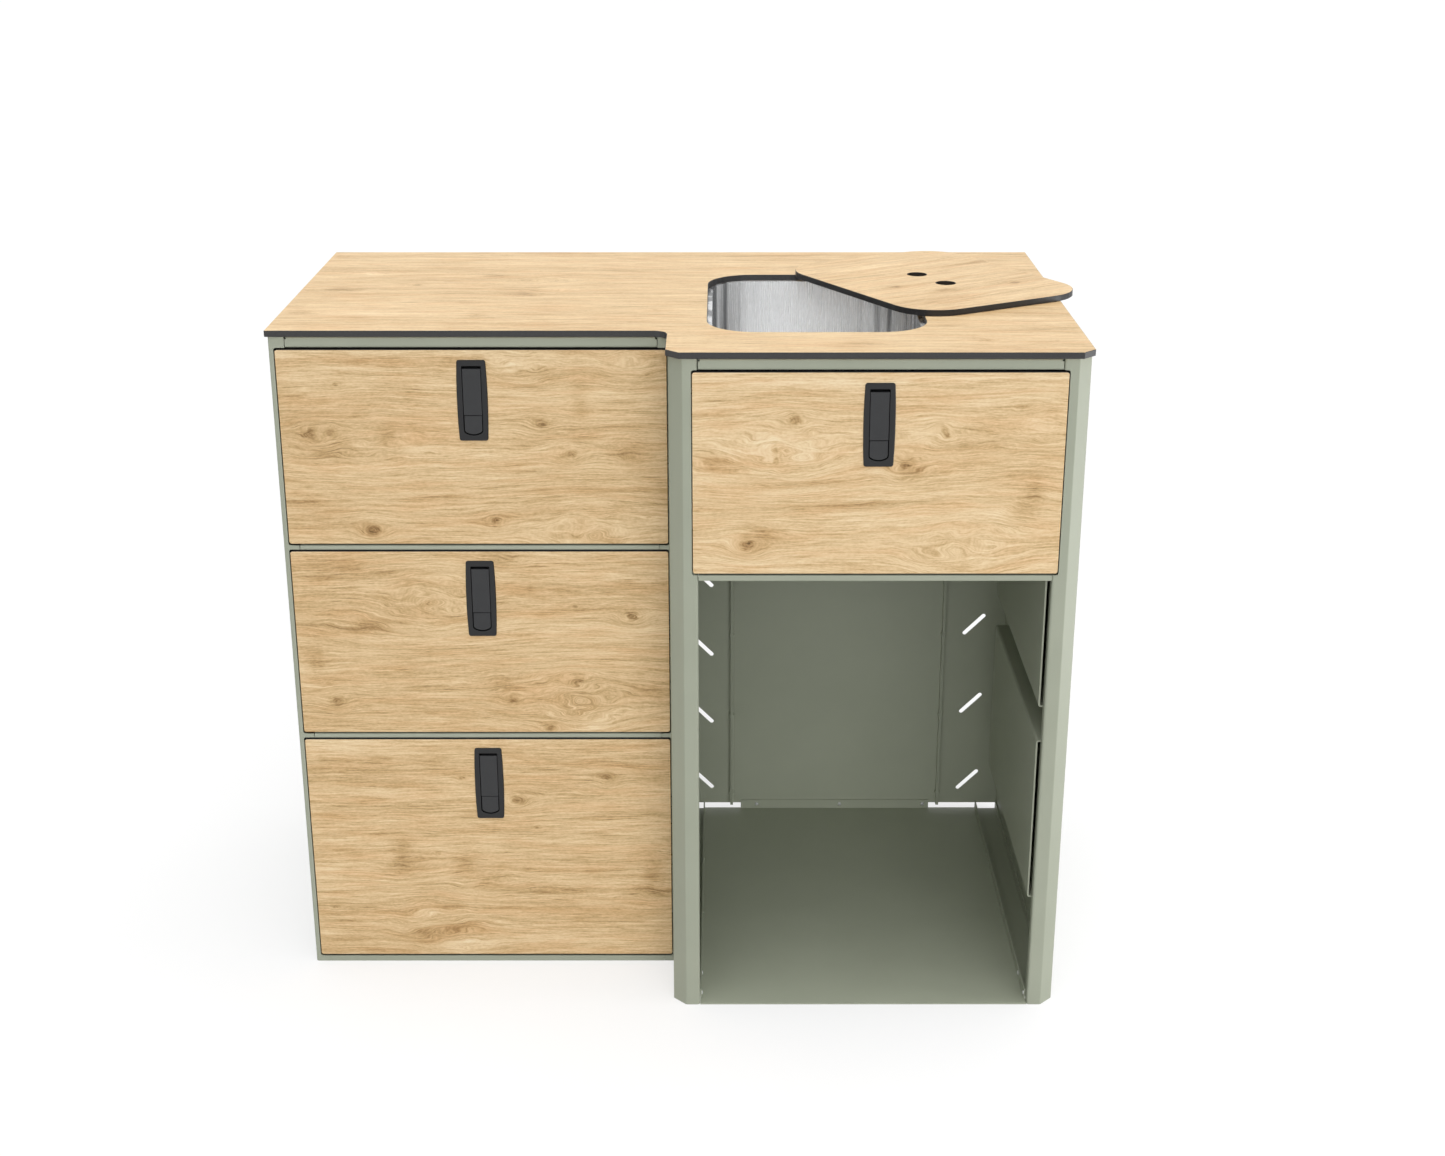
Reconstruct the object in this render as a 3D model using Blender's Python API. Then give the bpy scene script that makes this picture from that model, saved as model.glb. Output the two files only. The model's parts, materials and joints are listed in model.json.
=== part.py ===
"""Campervan kitchen pod: a sheet-metal carcass in two depths under one laminate worktop.

The shallow left unit holds three drawers. The deep right unit holds one drawer, a sink bowl
above it and an open fridge bay below. Every drawer has a lever latch with a push button, and
the piece cut out of the worktop is the loose lid of the sink.

Pod coordinates: x runs right from the outer face of the left side panel, y runs back from the
front plane of the right unit and z runs up from the van floor. One empty moves the whole pod,
so that the world's origin lies under the middle of its box.
"""
import math

import bmesh
import bpy
from mathutils import Vector

# Board, sheet and clearances
BOARD = 0.008
BOARD_EDGE = 0.0005
SHEET = 0.002
BEND = 0.003
FIT = 0.0003
CUT_OVER = 0.005
ARC_STEPS = 3
SMOOTH_ANGLE = math.radians(35)

# Outer sizes of the pod
HEIGHT = 0.900
WIDTH = 1.013
LEFT_FRONT = 0.113
MID_FACE = 0.5024
CASE_REAR = 0.585

# Worktop
TOP_LIP = 0.0033
TOP_OVERHANG = 0.030
TOP_CHAMFER_LESS = 0.001
TOP_STEP_RADIUS = 0.016
TOP_CORNER_RADIUS = 0.0015
CUTOUT_FROM_FRONT = 0.2768
CUTOUT_PLACE_SHARE = 0.157
CUTOUT_WIDTH = 0.2788
CUTOUT_LENGTH = 0.3480
CUTOUT_RADIUS = 0.062
CUTOUT_STEPS = 10

# Sink lid, lying askew on the worktop
LID_PLAY = 0.001
LID_FROM_RIGHT = 0.1585
LID_FROM_REAR = 0.230
LID_TURN = math.radians(30.2)
FINGER_HOLE_RADIUS = 0.0135
FINGER_HOLE_SPACING = 0.067
FINGER_HOLE_STEPS = 7

# Sink bowl and its drain
BOWL_SHEET = 0.0012
BOWL_LEDGE = 0.006
BOWL_RIM = 0.012
BOWL_DEPTH = 0.130
BOWL_FLOOR_RADIUS = 0.018
BOWL_FLOOR_STEPS = 4
DRAIN_HOLE_RADIUS = 0.030
DRAIN_DISH = 0.004
DRAIN_FLANGE_RADIUS = 0.040
DRAIN_FLANGE = 0.002
DRAIN_WALL = 0.003
DRAIN_CUP_DEPTH = 0.014
DRAIN_PIPE_RADIUS = 0.019
DRAIN_DROP = 0.038
DRAIN_STEPS = 32
STRAINER_SCREW_RADIUS = 0.0015
STRAINER_HOLE_RADIUS = 0.0018
STRAINER_HOLE_SIDES = 8
STRAINER_RINGS = ((0.0065, 6), (0.0120, 12))
NUT_RADIUS = 0.040
NUT_HEIGHT = 0.009
NUT_FLATS = 12

# Front rails and reveals
REVEAL = 0.0024
SIDE_REVEAL = 0.0012
RAIL_SEAM = 0.0008
RELIEF_WIDTH = 0.0022
RELIEF_HEIGHT = 0.0034
TOP_RAIL_HEIGHT = 0.0145
MID_RAIL_HEIGHT = 0.0054
FOOT_RAIL_HEIGHT = 0.008
SHELF_LIP_HEIGHT = 0.0069
RAIL_DEPTH = 0.025
RAIL_RETURN = 0.012

# Posts, jambs and rear flanges
TAB_WIDTH = 0.0204
JAMB_WIDTH = 0.0064
MID_TAB_WIDTH = 0.0154
MID_JAMB_WIDTH = 0.0033
JAMB_LEG = 0.030
NOTCH_RADIUS = 0.003
POST_CHAMFER = 0.017
POST_WIDTH = 0.0354
POST_NOTCH = 0.0277
POST_RETURN = 0.012
LEFT_REAR_FLANGE = 0.020
MID_REAR_FLANGE = 0.0806
RIGHT_REAR_FLANGE = 0.0986
REAR_LIP = 0.011
REAR_GAP = 0.0108

# Lashing slots in the rear flanges of the bay, set in from each panel's outer face
SLOT_LENGTH = 0.047
SLOT_WIDTH = 0.0066
SLOT_TURN = math.radians(45)
LEFT_SLOT_SET = 0.0346
LEFT_SLOT_LOW = 0.0535
LEFT_SLOT_PITCH = 0.1154
LEFT_SLOTS = 4
RIGHT_SLOT_SET = 0.0508
RIGHT_SLOT_LOW = 0.052
RIGHT_SLOT_PITCH = 0.1342
RIGHT_SLOTS = 3

# Pans and the bay
PAN_FLANGE = 0.015
TRAY_UPSTAND = 0.016
TRAY_FRONT_GAP = 0.001
TRAY_LEFT_GAP = 0.015
TRAY_RIGHT_GAP = 0.0134
LINER_PROUD = 0.0056
LINER_REAR_GAP = 0.168
LINER_LEVEL_SHARES = ((0.2579, 0.6324), (0.7096, 0.9954))

# Drawer fronts and boxes
SMALL_FRONT_HEIGHT = 0.257
FRONT_CORNER = 0.003
BOX_SHEET = 0.0015
BOX_LIFT = 0.018
BOX_DROP = 0.035
BOX_REAR_GAP = 0.040
SINK_BOX_CLEAR = 0.0047
BOX_CORNER = 0.003

# Drawer runners
RUNNER_SHEET = 0.0012
RUNNER_BEND = 0.0018
RUNNER_HEIGHT = 0.036
RUNNER_LIFT = 0.030
RUNNER_CHANNEL = 0.012
RUNNER_SET = 0.005
RUNNER_STAND = 0.0015
RUNNER_PLAY = 0.0005
RUNNER_FRONT = 0.032
RUNNER_REAR_GAP = 0.025
SLIDE_FRONT = 0.004
SLIDE_SHORT = 0.005
BRACKET_FACE = 0.0241
BRACKET_FOOT = 0.012
BRACKET_MARGIN = 0.004

# Drawer latch: bezel and housing
LATCH_DROP = 0.013
BEZEL_HEIGHT = 0.105
BEZEL_END_WIDTH = 0.0364
BEZEL_BOW = 0.0013
BEZEL_PROUD = 0.0016
BEZEL_CORNER = 0.003
BEZEL_EDGE = 0.0008
CUP_SIDE = 0.0027
CUP_END = 0.004
CUP_CORNER = 0.002
CUP_DEPTH = 0.019
CUP_NOTCH_PLAY = 0.004
RECESS_SIDE_GAP = 0.0059
RECESS_TOP_GAP = 0.0076
RECESS_LOW_GAP = 0.007
RECESS_DEPTH = 0.0155
RECESS_CORNER = 0.001
RECESS_END_RADIUS = 0.0028
RECESS_END_SAG = 0.0040
SIDE_STEPS = 4
END_STEPS = 5

# Drawer latch: lever and button
LEVER_PLAY = 0.0009
LEVER_SHARE = 0.707
LEVER_INSET = 0.0006
LEVER_THICKNESS = 0.0034
LEVER_CORNER = 0.0006
KNUCKLE_RADIUS = 0.0042
KNUCKLE_RISE = 0.0021
KNUCKLE_STEPS = 4
PIVOT_DROP = 0.006
PIVOT_RADIUS = 0.0018
PIVOT_STUB = 0.0016
PIVOT_STEPS = 16
GRIP_LIP = 0.0030
SPLIT_GAP = 0.0008
BUTTON_DEPTH = 0.0085
BUTTON_INSET = 0.0004

# Values worked out from the driving sizes
CARCASS_TOP = HEIGHT - BOARD
FRAME_TOP = CARCASS_TOP - FIT
TOP_REAR = CASE_REAR + TOP_OVERHANG
TOP_CHAMFER = POST_CHAMFER - TOP_CHAMFER_LESS
RIGHT_MIDDLE = (MID_FACE + WIDTH) / 2
BAY_LEFT = MID_FACE + POST_WIDTH
BAY_RIGHT = WIDTH - POST_WIDTH
LEFT_WALL = SHEET
LEFT_INNER_RIGHT = MID_FACE - FIT
JAMB_LEFT = JAMB_WIDTH
JAMB_RIGHT = LEFT_INNER_RIGHT + FIT - MID_JAMB_WIDTH
TAB_RIGHT = LEFT_INNER_RIGHT + FIT - MID_TAB_WIDTH
REAR_FACE = CASE_REAR - SHEET
TOP_RAIL_LOW = CARCASS_TOP - TOP_RAIL_HEIGHT
UPPER_RAIL_TOP = TOP_RAIL_LOW - SMALL_FRONT_HEIGHT - 2 * REVEAL
UPPER_RAIL_LOW = UPPER_RAIL_TOP - MID_RAIL_HEIGHT
LOWER_RAIL_TOP = UPPER_RAIL_LOW - SMALL_FRONT_HEIGHT - 2 * REVEAL
LOWER_RAIL_LOW = LOWER_RAIL_TOP - MID_RAIL_HEIGHT
SHELF_TOP = UPPER_RAIL_TOP
SHELF_LOW = SHELF_TOP - SHELF_LIP_HEIGHT
RIM_MARGIN = SHEET + FIT + BOWL_RIM
CUTOUT_SPARE = WIDTH - MID_FACE - CUTOUT_WIDTH - 2 * RIM_MARGIN
CUTOUT_MIDDLE = (MID_FACE + RIM_MARGIN + CUTOUT_SPARE * CUTOUT_PLACE_SHARE + CUTOUT_WIDTH / 2,
                 CUTOUT_FROM_FRONT)
BOWL_FLOOR = FRAME_TOP - BOWL_DEPTH
DRAIN_SEAT = BOWL_FLOOR - DRAIN_DISH
DRAIN_FOOT = DRAIN_SEAT - DRAIN_DROP
SINK_BOX_TOP = DRAIN_FOOT - SINK_BOX_CLEAR
LID_MIDDLE = (WIDTH - LID_FROM_RIGHT, TOP_REAR - LID_FROM_REAR)
LID_HALF = (CUTOUT_WIDTH / 2 - LID_PLAY, CUTOUT_LENGTH / 2 - LID_PLAY)
LID_RADIUS = CUTOUT_RADIUS - LID_PLAY
LID_REACH = ((LID_HALF[0] - LID_RADIUS) * math.cos(LID_TURN)
             + (LID_HALF[1] - LID_RADIUS) * math.sin(LID_TURN) + LID_RADIUS)
TRAY_SIDE_FRONT = POST_RETURN + TRAY_FRONT_GAP
TRAY_REAR_LEFT = MID_FACE + MID_REAR_FLANGE + TRAY_LEFT_GAP
TRAY_REAR_RIGHT = WIDTH - RIGHT_REAR_FLANGE - TRAY_RIGHT_GAP
LINER_REAR = CASE_REAR - LINER_REAR_GAP
BOX_REAR = CASE_REAR - BOX_REAR_GAP
SLIDE_REAR = BOX_REAR - SLIDE_SHORT
RUNNER_REAR = CASE_REAR - RUNNER_REAR_GAP
RUNNER_WIDTH = RUNNER_CHANNEL + RUNNER_STAND
CUP_WIDTH = BEZEL_END_WIDTH - 2 * CUP_SIDE
CUP_HEIGHT = BEZEL_HEIGHT - 2 * CUP_END
RECESS_WIDTH = BEZEL_END_WIDTH - 2 * RECESS_SIDE_GAP
RECESS_HEIGHT = BEZEL_HEIGHT - RECESS_TOP_GAP - RECESS_LOW_GAP
POD_RIGHT = LID_MIDDLE[0] + LID_REACH
POD_MIDDLE = Vector(((POD_RIGHT - TOP_LIP) / 2, (TOP_REAR - TOP_LIP) / 2, 0))


# Plane outlines

def turn(point, angle, middle=(0, 0)):
    """A point turned about a middle."""
    cosine, sine = math.cos(angle), math.sin(angle)
    across, along = point[0] - middle[0], point[1] - middle[1]
    return middle[0] + across * cosine - along * sine, middle[1] + across * sine + along * cosine


def rounded(corners, radii, steps=ARC_STEPS):
    """The corners of a polygon, each replaced by an arc of its own radius."""
    outline = []
    for index, corner in enumerate(corners):
        radius = radii[index] if isinstance(radii, (list, tuple)) else radii
        here = Vector(corner)
        before = (Vector(corners[index - 1]) - here).normalized()
        after = (Vector(corners[(index + 1) % len(corners)]) - here).normalized()
        if radius <= 0:
            outline.append(tuple(here))
            continue
        half = before.angle(after) / 2
        middle = here + (before + after).normalized() * radius / math.sin(half)
        start = here + before * radius / math.tan(half) - middle
        end = here + after * radius / math.tan(half) - middle
        sweep = math.copysign(math.pi - 2 * half, start.x * end.y - start.y * end.x)
        for step in range(steps + 1):
            outline.append(turn(middle + start, sweep * step / steps, middle))
    return outline


def rectangle(left, right, low, high, radius=0, steps=ARC_STEPS):
    """A rectangle with one radius at all its corners."""
    corners = [(left, low), (right, low), (right, high), (left, high)]
    return rounded(corners, radius, steps)


def centred(middle, half_width, half_height, radius=0, steps=ARC_STEPS, angle=0):
    """A rounded rectangle about its middle, turned by an angle."""
    outline = rectangle(middle[0] - half_width, middle[0] + half_width,
                        middle[1] - half_height, middle[1] + half_height, radius, steps)
    return [turn(point, angle, middle) for point in outline]


def circle(middle, radius, steps):
    """A regular polygon round a middle."""
    return [turn((middle[0] + radius, middle[1]), 2 * math.pi * step / steps, middle)
            for step in range(steps)]


def grown(outline, distance):
    """An outline that runs counterclockwise, moved out by a distance along its mitres."""
    result = []
    for index, point in enumerate(outline):
        here = Vector(point)
        before = (here - Vector(outline[index - 1])).normalized()
        after = (Vector(outline[(index + 1) % len(outline)]) - here).normalized()
        normal = Vector((before.y + after.y, -before.x - after.x)).normalized()
        share = normal.dot(Vector((before.y, -before.x)))
        result.append(tuple(here + normal * distance / share))
    return result


def folded(path, side, sheet=SHEET, bend=BEND):
    """The section of a sheet folded along a path of its one face; it lies on the given side."""
    face, other = [], []
    points = [Vector(point) for point in path]
    runs = [(end - start).normalized() for start, end in zip(points, points[1:])]
    for here, before, after in zip(points, runs[:1] + runs, runs + runs[-1:]):
        normal = Vector((-before.y, before.x))
        bend_angle = math.atan2(before.x * after.y - before.y * after.x, before.dot(after))
        if bend_angle == 0:
            face.append(here)
            other.append(here + normal * side * sheet)
            continue
        hand = math.copysign(1, bend_angle)
        face_radius = bend if hand == side else bend - sheet
        other_radius = bend - sheet if hand == side else bend
        start = here - before * face_radius * math.tan(abs(bend_angle) / 2)
        middle = start + normal * hand * face_radius
        for step in range(ARC_STEPS + 1):
            radial = -normal * hand
            spoke = Vector(turn(radial, bend_angle * step / ARC_STEPS))
            face.append(middle + spoke * face_radius)
            other.append(middle + spoke * other_radius)
    return [tuple(point) for point in face + other[::-1]]


# Solids

def spatial(point, level, axis):
    """A plane point placed at a level along an axis."""
    across, along = point
    return {"X": (level, across, along), "Y": (across, level, along), "Z": (across, along, level)}[axis]


def loft(rings, capped=True):
    """A closed mesh through rings of equal counts; without caps its last ring meets its first."""
    mesh = bmesh.new()
    loops = [[mesh.verts.new(point) for point in ring] for ring in rings]
    pairs = list(zip(loops, loops[1:]))
    if capped:
        mesh.faces.new(loops[0])
        mesh.faces.new(loops[-1])
    else:
        pairs.append((loops[-1], loops[0]))
    for lower, upper in pairs:
        for index, vertex in enumerate(lower):
            following = (index + 1) % len(lower)
            mesh.faces.new((vertex, lower[following], upper[following], upper[index]))
    bmesh.ops.recalc_face_normals(mesh, faces=mesh.faces)
    return mesh


def prism(outline, start, end, axis="Z"):
    """An outline extruded along an axis."""
    return loft([[spatial(point, level, axis) for point in outline] for level in (start, end)])


def block(left, right, front, rear, low, high):
    """A plain rectangular body, mostly used to cut."""
    return prism(rectangle(left, right, front, rear), low, high)


def slab(outline, low, high, axis="Z", edge=BOARD_EDGE):
    """A board whose edges are eased all round."""
    levels = ((-edge, low), (0, low + edge), (0, high - edge), (-edge, high))
    return loft([[spatial(point, level, axis) for point in grown(outline, shift)]
                 for shift, level in levels])


def eased_hole(outline, low, high, axis="Z", edge=BOARD_EDGE):
    """The cutter of a hole through a board, flared to ease the hole's edges."""
    flare = edge + CUT_OVER
    levels = ((flare, low - CUT_OVER), (0, low + edge), (0, high - edge), (flare, high + CUT_OVER))
    return loft([[spatial(point, level, axis) for point in grown(outline, shift)]
                 for shift, level in levels])


def shell(outline, wall, low, high, floor):
    """An open-topped box with walls of one thickness."""
    levels = ((0, low), (0, high), (-wall, high), (-wall, low + floor))
    return loft([[spatial(point, level, "Z") for point in grown(outline, shift)]
                 for shift, level in levels])


def turned(profile, middle, steps):
    """A closed profile of radii and heights turned round a vertical axis."""
    rings = []
    for step in range(steps):
        spoke = Vector(turn((1, 0), 2 * math.pi * step / steps))
        rings.append([(middle[0] + spoke.x * radius, middle[1] + spoke.y * radius, level)
                      for radius, level in profile])
    return loft(rings, capped=False)


# Materials

def material(name, colour, roughness, metallic=0.0):
    """A plain material with the colour seen in the photograph."""
    result = bpy.data.materials.new(name)
    result.use_nodes = True
    result.diffuse_color = (*colour, 1)
    shader = result.node_tree.nodes["Principled BSDF"]
    shader.inputs["Base Color"].default_value = (*colour, 1)
    shader.inputs["Roughness"].default_value = roughness
    shader.inputs["Metallic"].default_value = metallic
    return result


def make_materials():
    """One material for each finish of the pod."""
    return {
        "sage": material("sage_powder_coat", (0.38, 0.41, 0.33), 0.5),
        "oak": material("oak_laminate", (0.76, 0.56, 0.35), 0.45),
        "steel": material("brushed_stainless", (0.75, 0.75, 0.74), 0.28, 1.0),
        "zinc": material("zinc_plated_runner", (0.62, 0.63, 0.65), 0.35, 1.0),
        "black": material("black_plastic", (0.045, 0.047, 0.05), 0.42),
    }


# Objects

class Pod:
    """Adds named objects to the scene under the empties that carry them."""

    def __init__(self):
        for item in list(bpy.data.objects):
            bpy.data.objects.remove(item, do_unlink=True)
        self.materials = make_materials()
        self.root = self.empty("pod_origin", Vector((0, 0, 0)), None)
        self.root.location = -POD_MIDDLE

    def empty(self, name, place, parent):
        """An empty at a place given in pod coordinates."""
        item = bpy.data.objects.new(name, None)
        bpy.context.scene.collection.objects.link(item)
        item["place"] = tuple(place)
        if parent:
            item.parent = parent
            item.location = place - Vector(parent["place"])
        return item

    def add(self, name, mesh, finish, place=(0, 0, 0), parent=None):
        """A mesh in pod coordinates becomes an object whose origin is at a place."""
        parent = parent or self.root
        bmesh.ops.translate(mesh, verts=mesh.verts, vec=-Vector(place))
        data = bpy.data.meshes.new(name)
        mesh.to_mesh(data)
        mesh.free()
        data.shade_smooth()
        data.set_sharp_from_angle(angle=SMOOTH_ANGLE)
        if finish:
            data.materials.append(self.materials[finish])
        item = bpy.data.objects.new(name, data)
        bpy.context.scene.collection.objects.link(item)
        item.parent = parent
        item.location = Vector(place) - Vector(parent["place"])
        return item

    def trim(self, item, name, mesh, operation="DIFFERENCE"):
        """Cuts a hidden guide out of an object, or joins it on."""
        place = Vector(item.parent["place"]) + item.location
        guide = self.add(name, mesh, None, place, item.parent)
        guide.hide_render = True
        guide.display_type = "WIRE"
        modifier = item.modifiers.new(name, "BOOLEAN")
        modifier.operation = operation
        modifier.solver = "EXACT"
        modifier.object = guide


# Worktop, lid and sink

def worktop_outline():
    """The stepped worktop from above, counterclockwise from its rear right corner."""
    left, right = -TOP_LIP, WIDTH + TOP_LIP
    front, step_front = -TOP_LIP, LEFT_FRONT - TOP_LIP
    step = MID_FACE - TOP_LIP
    corners = [(right, TOP_REAR), (left, TOP_REAR), (left, step_front), (step, step_front),
               (step, front + TOP_CHAMFER), (step + TOP_CHAMFER, front),
               (right - TOP_CHAMFER, front), (right, front + TOP_CHAMFER)]
    radii = [TOP_CORNER_RADIUS] * len(corners)
    radii[3] = TOP_STEP_RADIUS
    return rounded(corners, radii)


def cutout_outline(shrink=0.0):
    """The rounded opening over the sink, drawn in by a distance."""
    return centred(CUTOUT_MIDDLE, CUTOUT_WIDTH / 2 - shrink, CUTOUT_LENGTH / 2 - shrink,
                   CUTOUT_RADIUS - shrink, CUTOUT_STEPS)


def make_worktop(pod):
    """The laminate worktop with the opening for the sink."""
    top = pod.add("worktop", slab(worktop_outline(), CARCASS_TOP, HEIGHT), "oak")
    pod.trim(top, "worktop_opening", eased_hole(cutout_outline(), CARCASS_TOP, HEIGHT))


def make_lid(pod):
    """The piece cut from the worktop, laid askew on it, with two finger holes."""
    place = (*LID_MIDDLE, HEIGHT + FIT)
    outline = centred(LID_MIDDLE, *LID_HALF, LID_RADIUS, CUTOUT_STEPS, LID_TURN)
    low, high = HEIGHT + FIT, HEIGHT + FIT + BOARD
    lid = pod.add("sink_lid", slab(outline, low, high), "oak", place)
    for name, side in (("front", -1), ("rear", 1)):
        middle = turn((LID_MIDDLE[0], LID_MIDDLE[1] + side * FINGER_HOLE_SPACING / 2), LID_TURN, LID_MIDDLE)
        hole = circle(middle, FINGER_HOLE_RADIUS, 4 * FINGER_HOLE_STEPS)
        pod.trim(lid, f"finger_hole_{name}", eased_hole(hole, low, high))


def bowl_ring(inset, radius, level):
    """One ring of the bowl: the cut-out's outline drawn in, with its own corner radius."""
    outline = centred(CUTOUT_MIDDLE, CUTOUT_WIDTH / 2 - inset, CUTOUT_LENGTH / 2 - inset,
                      radius, CUTOUT_STEPS)
    return [spatial(point, level, "Z") for point in outline]


def make_bowl(pod):
    """The pressed bowl: a rim under the worktop, straight walls, a round floor edge, a drain hole."""
    rim_top = FRAME_TOP
    floor = BOWL_FLOOR
    wall_radius = CUTOUT_RADIUS - BOWL_LEDGE
    inner, outer = [], []
    for step in range(BOWL_FLOOR_STEPS + 1):
        angle = math.pi / 2 * step / BOWL_FLOOR_STEPS
        for rings, grow in ((inner, 0), (outer, BOWL_SHEET)):
            radius = BOWL_FLOOR_RADIUS + grow
            inset = BOWL_LEDGE - grow + radius * (1 - math.cos(angle))
            level = floor - grow + radius * (1 - math.sin(angle))
            rings.append(bowl_ring(inset, wall_radius + BOWL_LEDGE - inset, level))
    drain = []
    for level in (DRAIN_SEAT, DRAIN_SEAT - BOWL_SHEET):
        drain.append([spatial(point, level, "Z") for point in
                      centred(CUTOUT_MIDDLE, DRAIN_HOLE_RADIUS, DRAIN_HOLE_RADIUS,
                              DRAIN_HOLE_RADIUS, CUTOUT_STEPS)])
    dish = []
    for grow, level in ((0, DRAIN_SEAT), (BOWL_SHEET, DRAIN_SEAT - BOWL_SHEET)):
        radius = DRAIN_FLANGE_RADIUS + DRAIN_WALL + grow
        dish.append([spatial(point, level, "Z") for point in
                     centred(CUTOUT_MIDDLE, radius, radius, radius, CUTOUT_STEPS)])
    rim = [bowl_ring(-BOWL_RIM, CUTOUT_RADIUS + BOWL_RIM, rim_top - BOWL_SHEET),
           bowl_ring(-BOWL_RIM, CUTOUT_RADIUS + BOWL_RIM, rim_top)]
    lip = [bowl_ring(BOWL_LEDGE, wall_radius, rim_top)]
    under = [bowl_ring(BOWL_LEDGE - BOWL_SHEET, wall_radius + BOWL_SHEET, rim_top - BOWL_SHEET)]
    rings = lip + inner + [dish[0]] + drain + [dish[1]] + outer[::-1] + under + rim
    pod.add("sink_bowl", loft(rings, capped=False), "steel")


def make_drain(pod):
    """The drain: a flanged cup with a strainer and a tail pipe, held by a nut under the bowl."""
    seat = DRAIN_SEAT
    neck = DRAIN_HOLE_RADIUS - DRAIN_WALL / 2
    cup = neck - DRAIN_WALL
    cup_floor = seat - DRAIN_CUP_DEPTH
    bore = DRAIN_PIPE_RADIUS - DRAIN_WALL
    nut_low = seat - BOWL_SHEET - FIT - NUT_HEIGHT
    strainer_top = cup_floor + DRAIN_WALL
    screw = STRAINER_SCREW_RADIUS
    profile = [(DRAIN_FLANGE_RADIUS, seat + FIT), (DRAIN_FLANGE_RADIUS, seat + FIT + DRAIN_FLANGE / 2),
               (DRAIN_FLANGE_RADIUS - DRAIN_FLANGE, seat + FIT + DRAIN_FLANGE),
               (cup, seat + FIT + DRAIN_FLANGE / 2), (cup, strainer_top), (screw, strainer_top),
               (screw, cup_floor), (bore, cup_floor), (bore, DRAIN_FOOT), (DRAIN_PIPE_RADIUS, DRAIN_FOOT),
               (DRAIN_PIPE_RADIUS, nut_low - DRAIN_WALL), (neck, nut_low), (neck, seat + FIT)]
    drain = pod.add("sink_drain", turned(profile, CUTOUT_MIDDLE, DRAIN_STEPS), "steel")
    for ring, count in STRAINER_RINGS:
        for index in range(count):
            start = (CUTOUT_MIDDLE[0] + ring, CUTOUT_MIDDLE[1])
            middle = turn(start, 2 * math.pi * index / count, CUTOUT_MIDDLE)
            hole = circle(middle, STRAINER_HOLE_RADIUS, STRAINER_HOLE_SIDES)
            cutter = prism(hole, cup_floor - DRAIN_WALL, strainer_top + DRAIN_WALL)
            pod.trim(drain, f"strainer_hole_{count}_{index + 1}", cutter)
    nut_top = seat - BOWL_SHEET - FIT
    outer = circle(CUTOUT_MIDDLE, NUT_RADIUS, NUT_FLATS)
    nut = pod.add("sink_drain_nut", prism(outer, nut_top - NUT_HEIGHT, nut_top), "black")
    bore_outline = circle(CUTOUT_MIDDLE, neck + FIT, DRAIN_STEPS)
    cutter = prism(bore_outline, nut_top - NUT_HEIGHT - CUT_OVER, nut_top + CUT_OVER)
    pod.trim(nut, "sink_drain_nut_bore", cutter)


# Side panels

def slot_cutter(middle, angle):
    """A slanted slot with round ends, cut through a rear flange."""
    half_straight = SLOT_LENGTH / 2
    outline = centred(middle, half_straight, SLOT_WIDTH / 2, SLOT_WIDTH / 2, ARC_STEPS, angle)
    return prism(outline, REAR_FACE - CUT_OVER, CASE_REAR + CUT_OVER, "Y")


def make_left_side(pod):
    """The left side panel, folded in at the front and rear, notched beside each drawer front."""
    path = [(TAB_WIDTH, LEFT_FRONT), (0, LEFT_FRONT), (0, CASE_REAR), (LEFT_REAR_FLANGE, CASE_REAR)]
    panel = pod.add("left_side_panel", prism(folded(path, -1), 0, FRAME_TOP), "sage")
    for name, low, high in left_openings():
        corners = [(JAMB_WIDTH, low), (TAB_WIDTH + CUT_OVER, low),
                   (TAB_WIDTH + CUT_OVER, high), (JAMB_WIDTH, high)]
        outline = rounded(corners, [NOTCH_RADIUS, 0, 0, NOTCH_RADIUS])
        cutter = prism(outline, LEFT_FRONT - CUT_OVER, LEFT_FRONT + CUT_OVER, "Y")
        pod.trim(panel, f"left_notch_{name}", cutter)


def make_mid_jamb(pod):
    """The angle that closes the left unit's frame against the middle side panel."""
    face = LEFT_INNER_RIGHT
    path = [(TAB_RIGHT, LEFT_FRONT), (face, LEFT_FRONT), (face, LEFT_FRONT + JAMB_LEG)]
    jamb = pod.add("middle_jamb", prism(folded(path, 1), 0, FRAME_TOP), "sage")
    for name, low, high in left_openings():
        corners = [(TAB_RIGHT - CUT_OVER, low), (JAMB_RIGHT, low),
                   (JAMB_RIGHT, high), (TAB_RIGHT - CUT_OVER, high)]
        outline = rounded(corners, [0, NOTCH_RADIUS, NOTCH_RADIUS, 0])
        cutter = prism(outline, LEFT_FRONT - CUT_OVER, LEFT_FRONT + CUT_OVER, "Y")
        pod.trim(jamb, f"middle_notch_{name}", cutter)


def left_openings():
    """Names and levels of the openings between the left unit's rails."""
    return (("top", UPPER_RAIL_TOP, TOP_RAIL_LOW),
            ("middle", LOWER_RAIL_TOP, UPPER_RAIL_LOW),
            ("bottom", FOOT_RAIL_HEIGHT, LOWER_RAIL_LOW))


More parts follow.
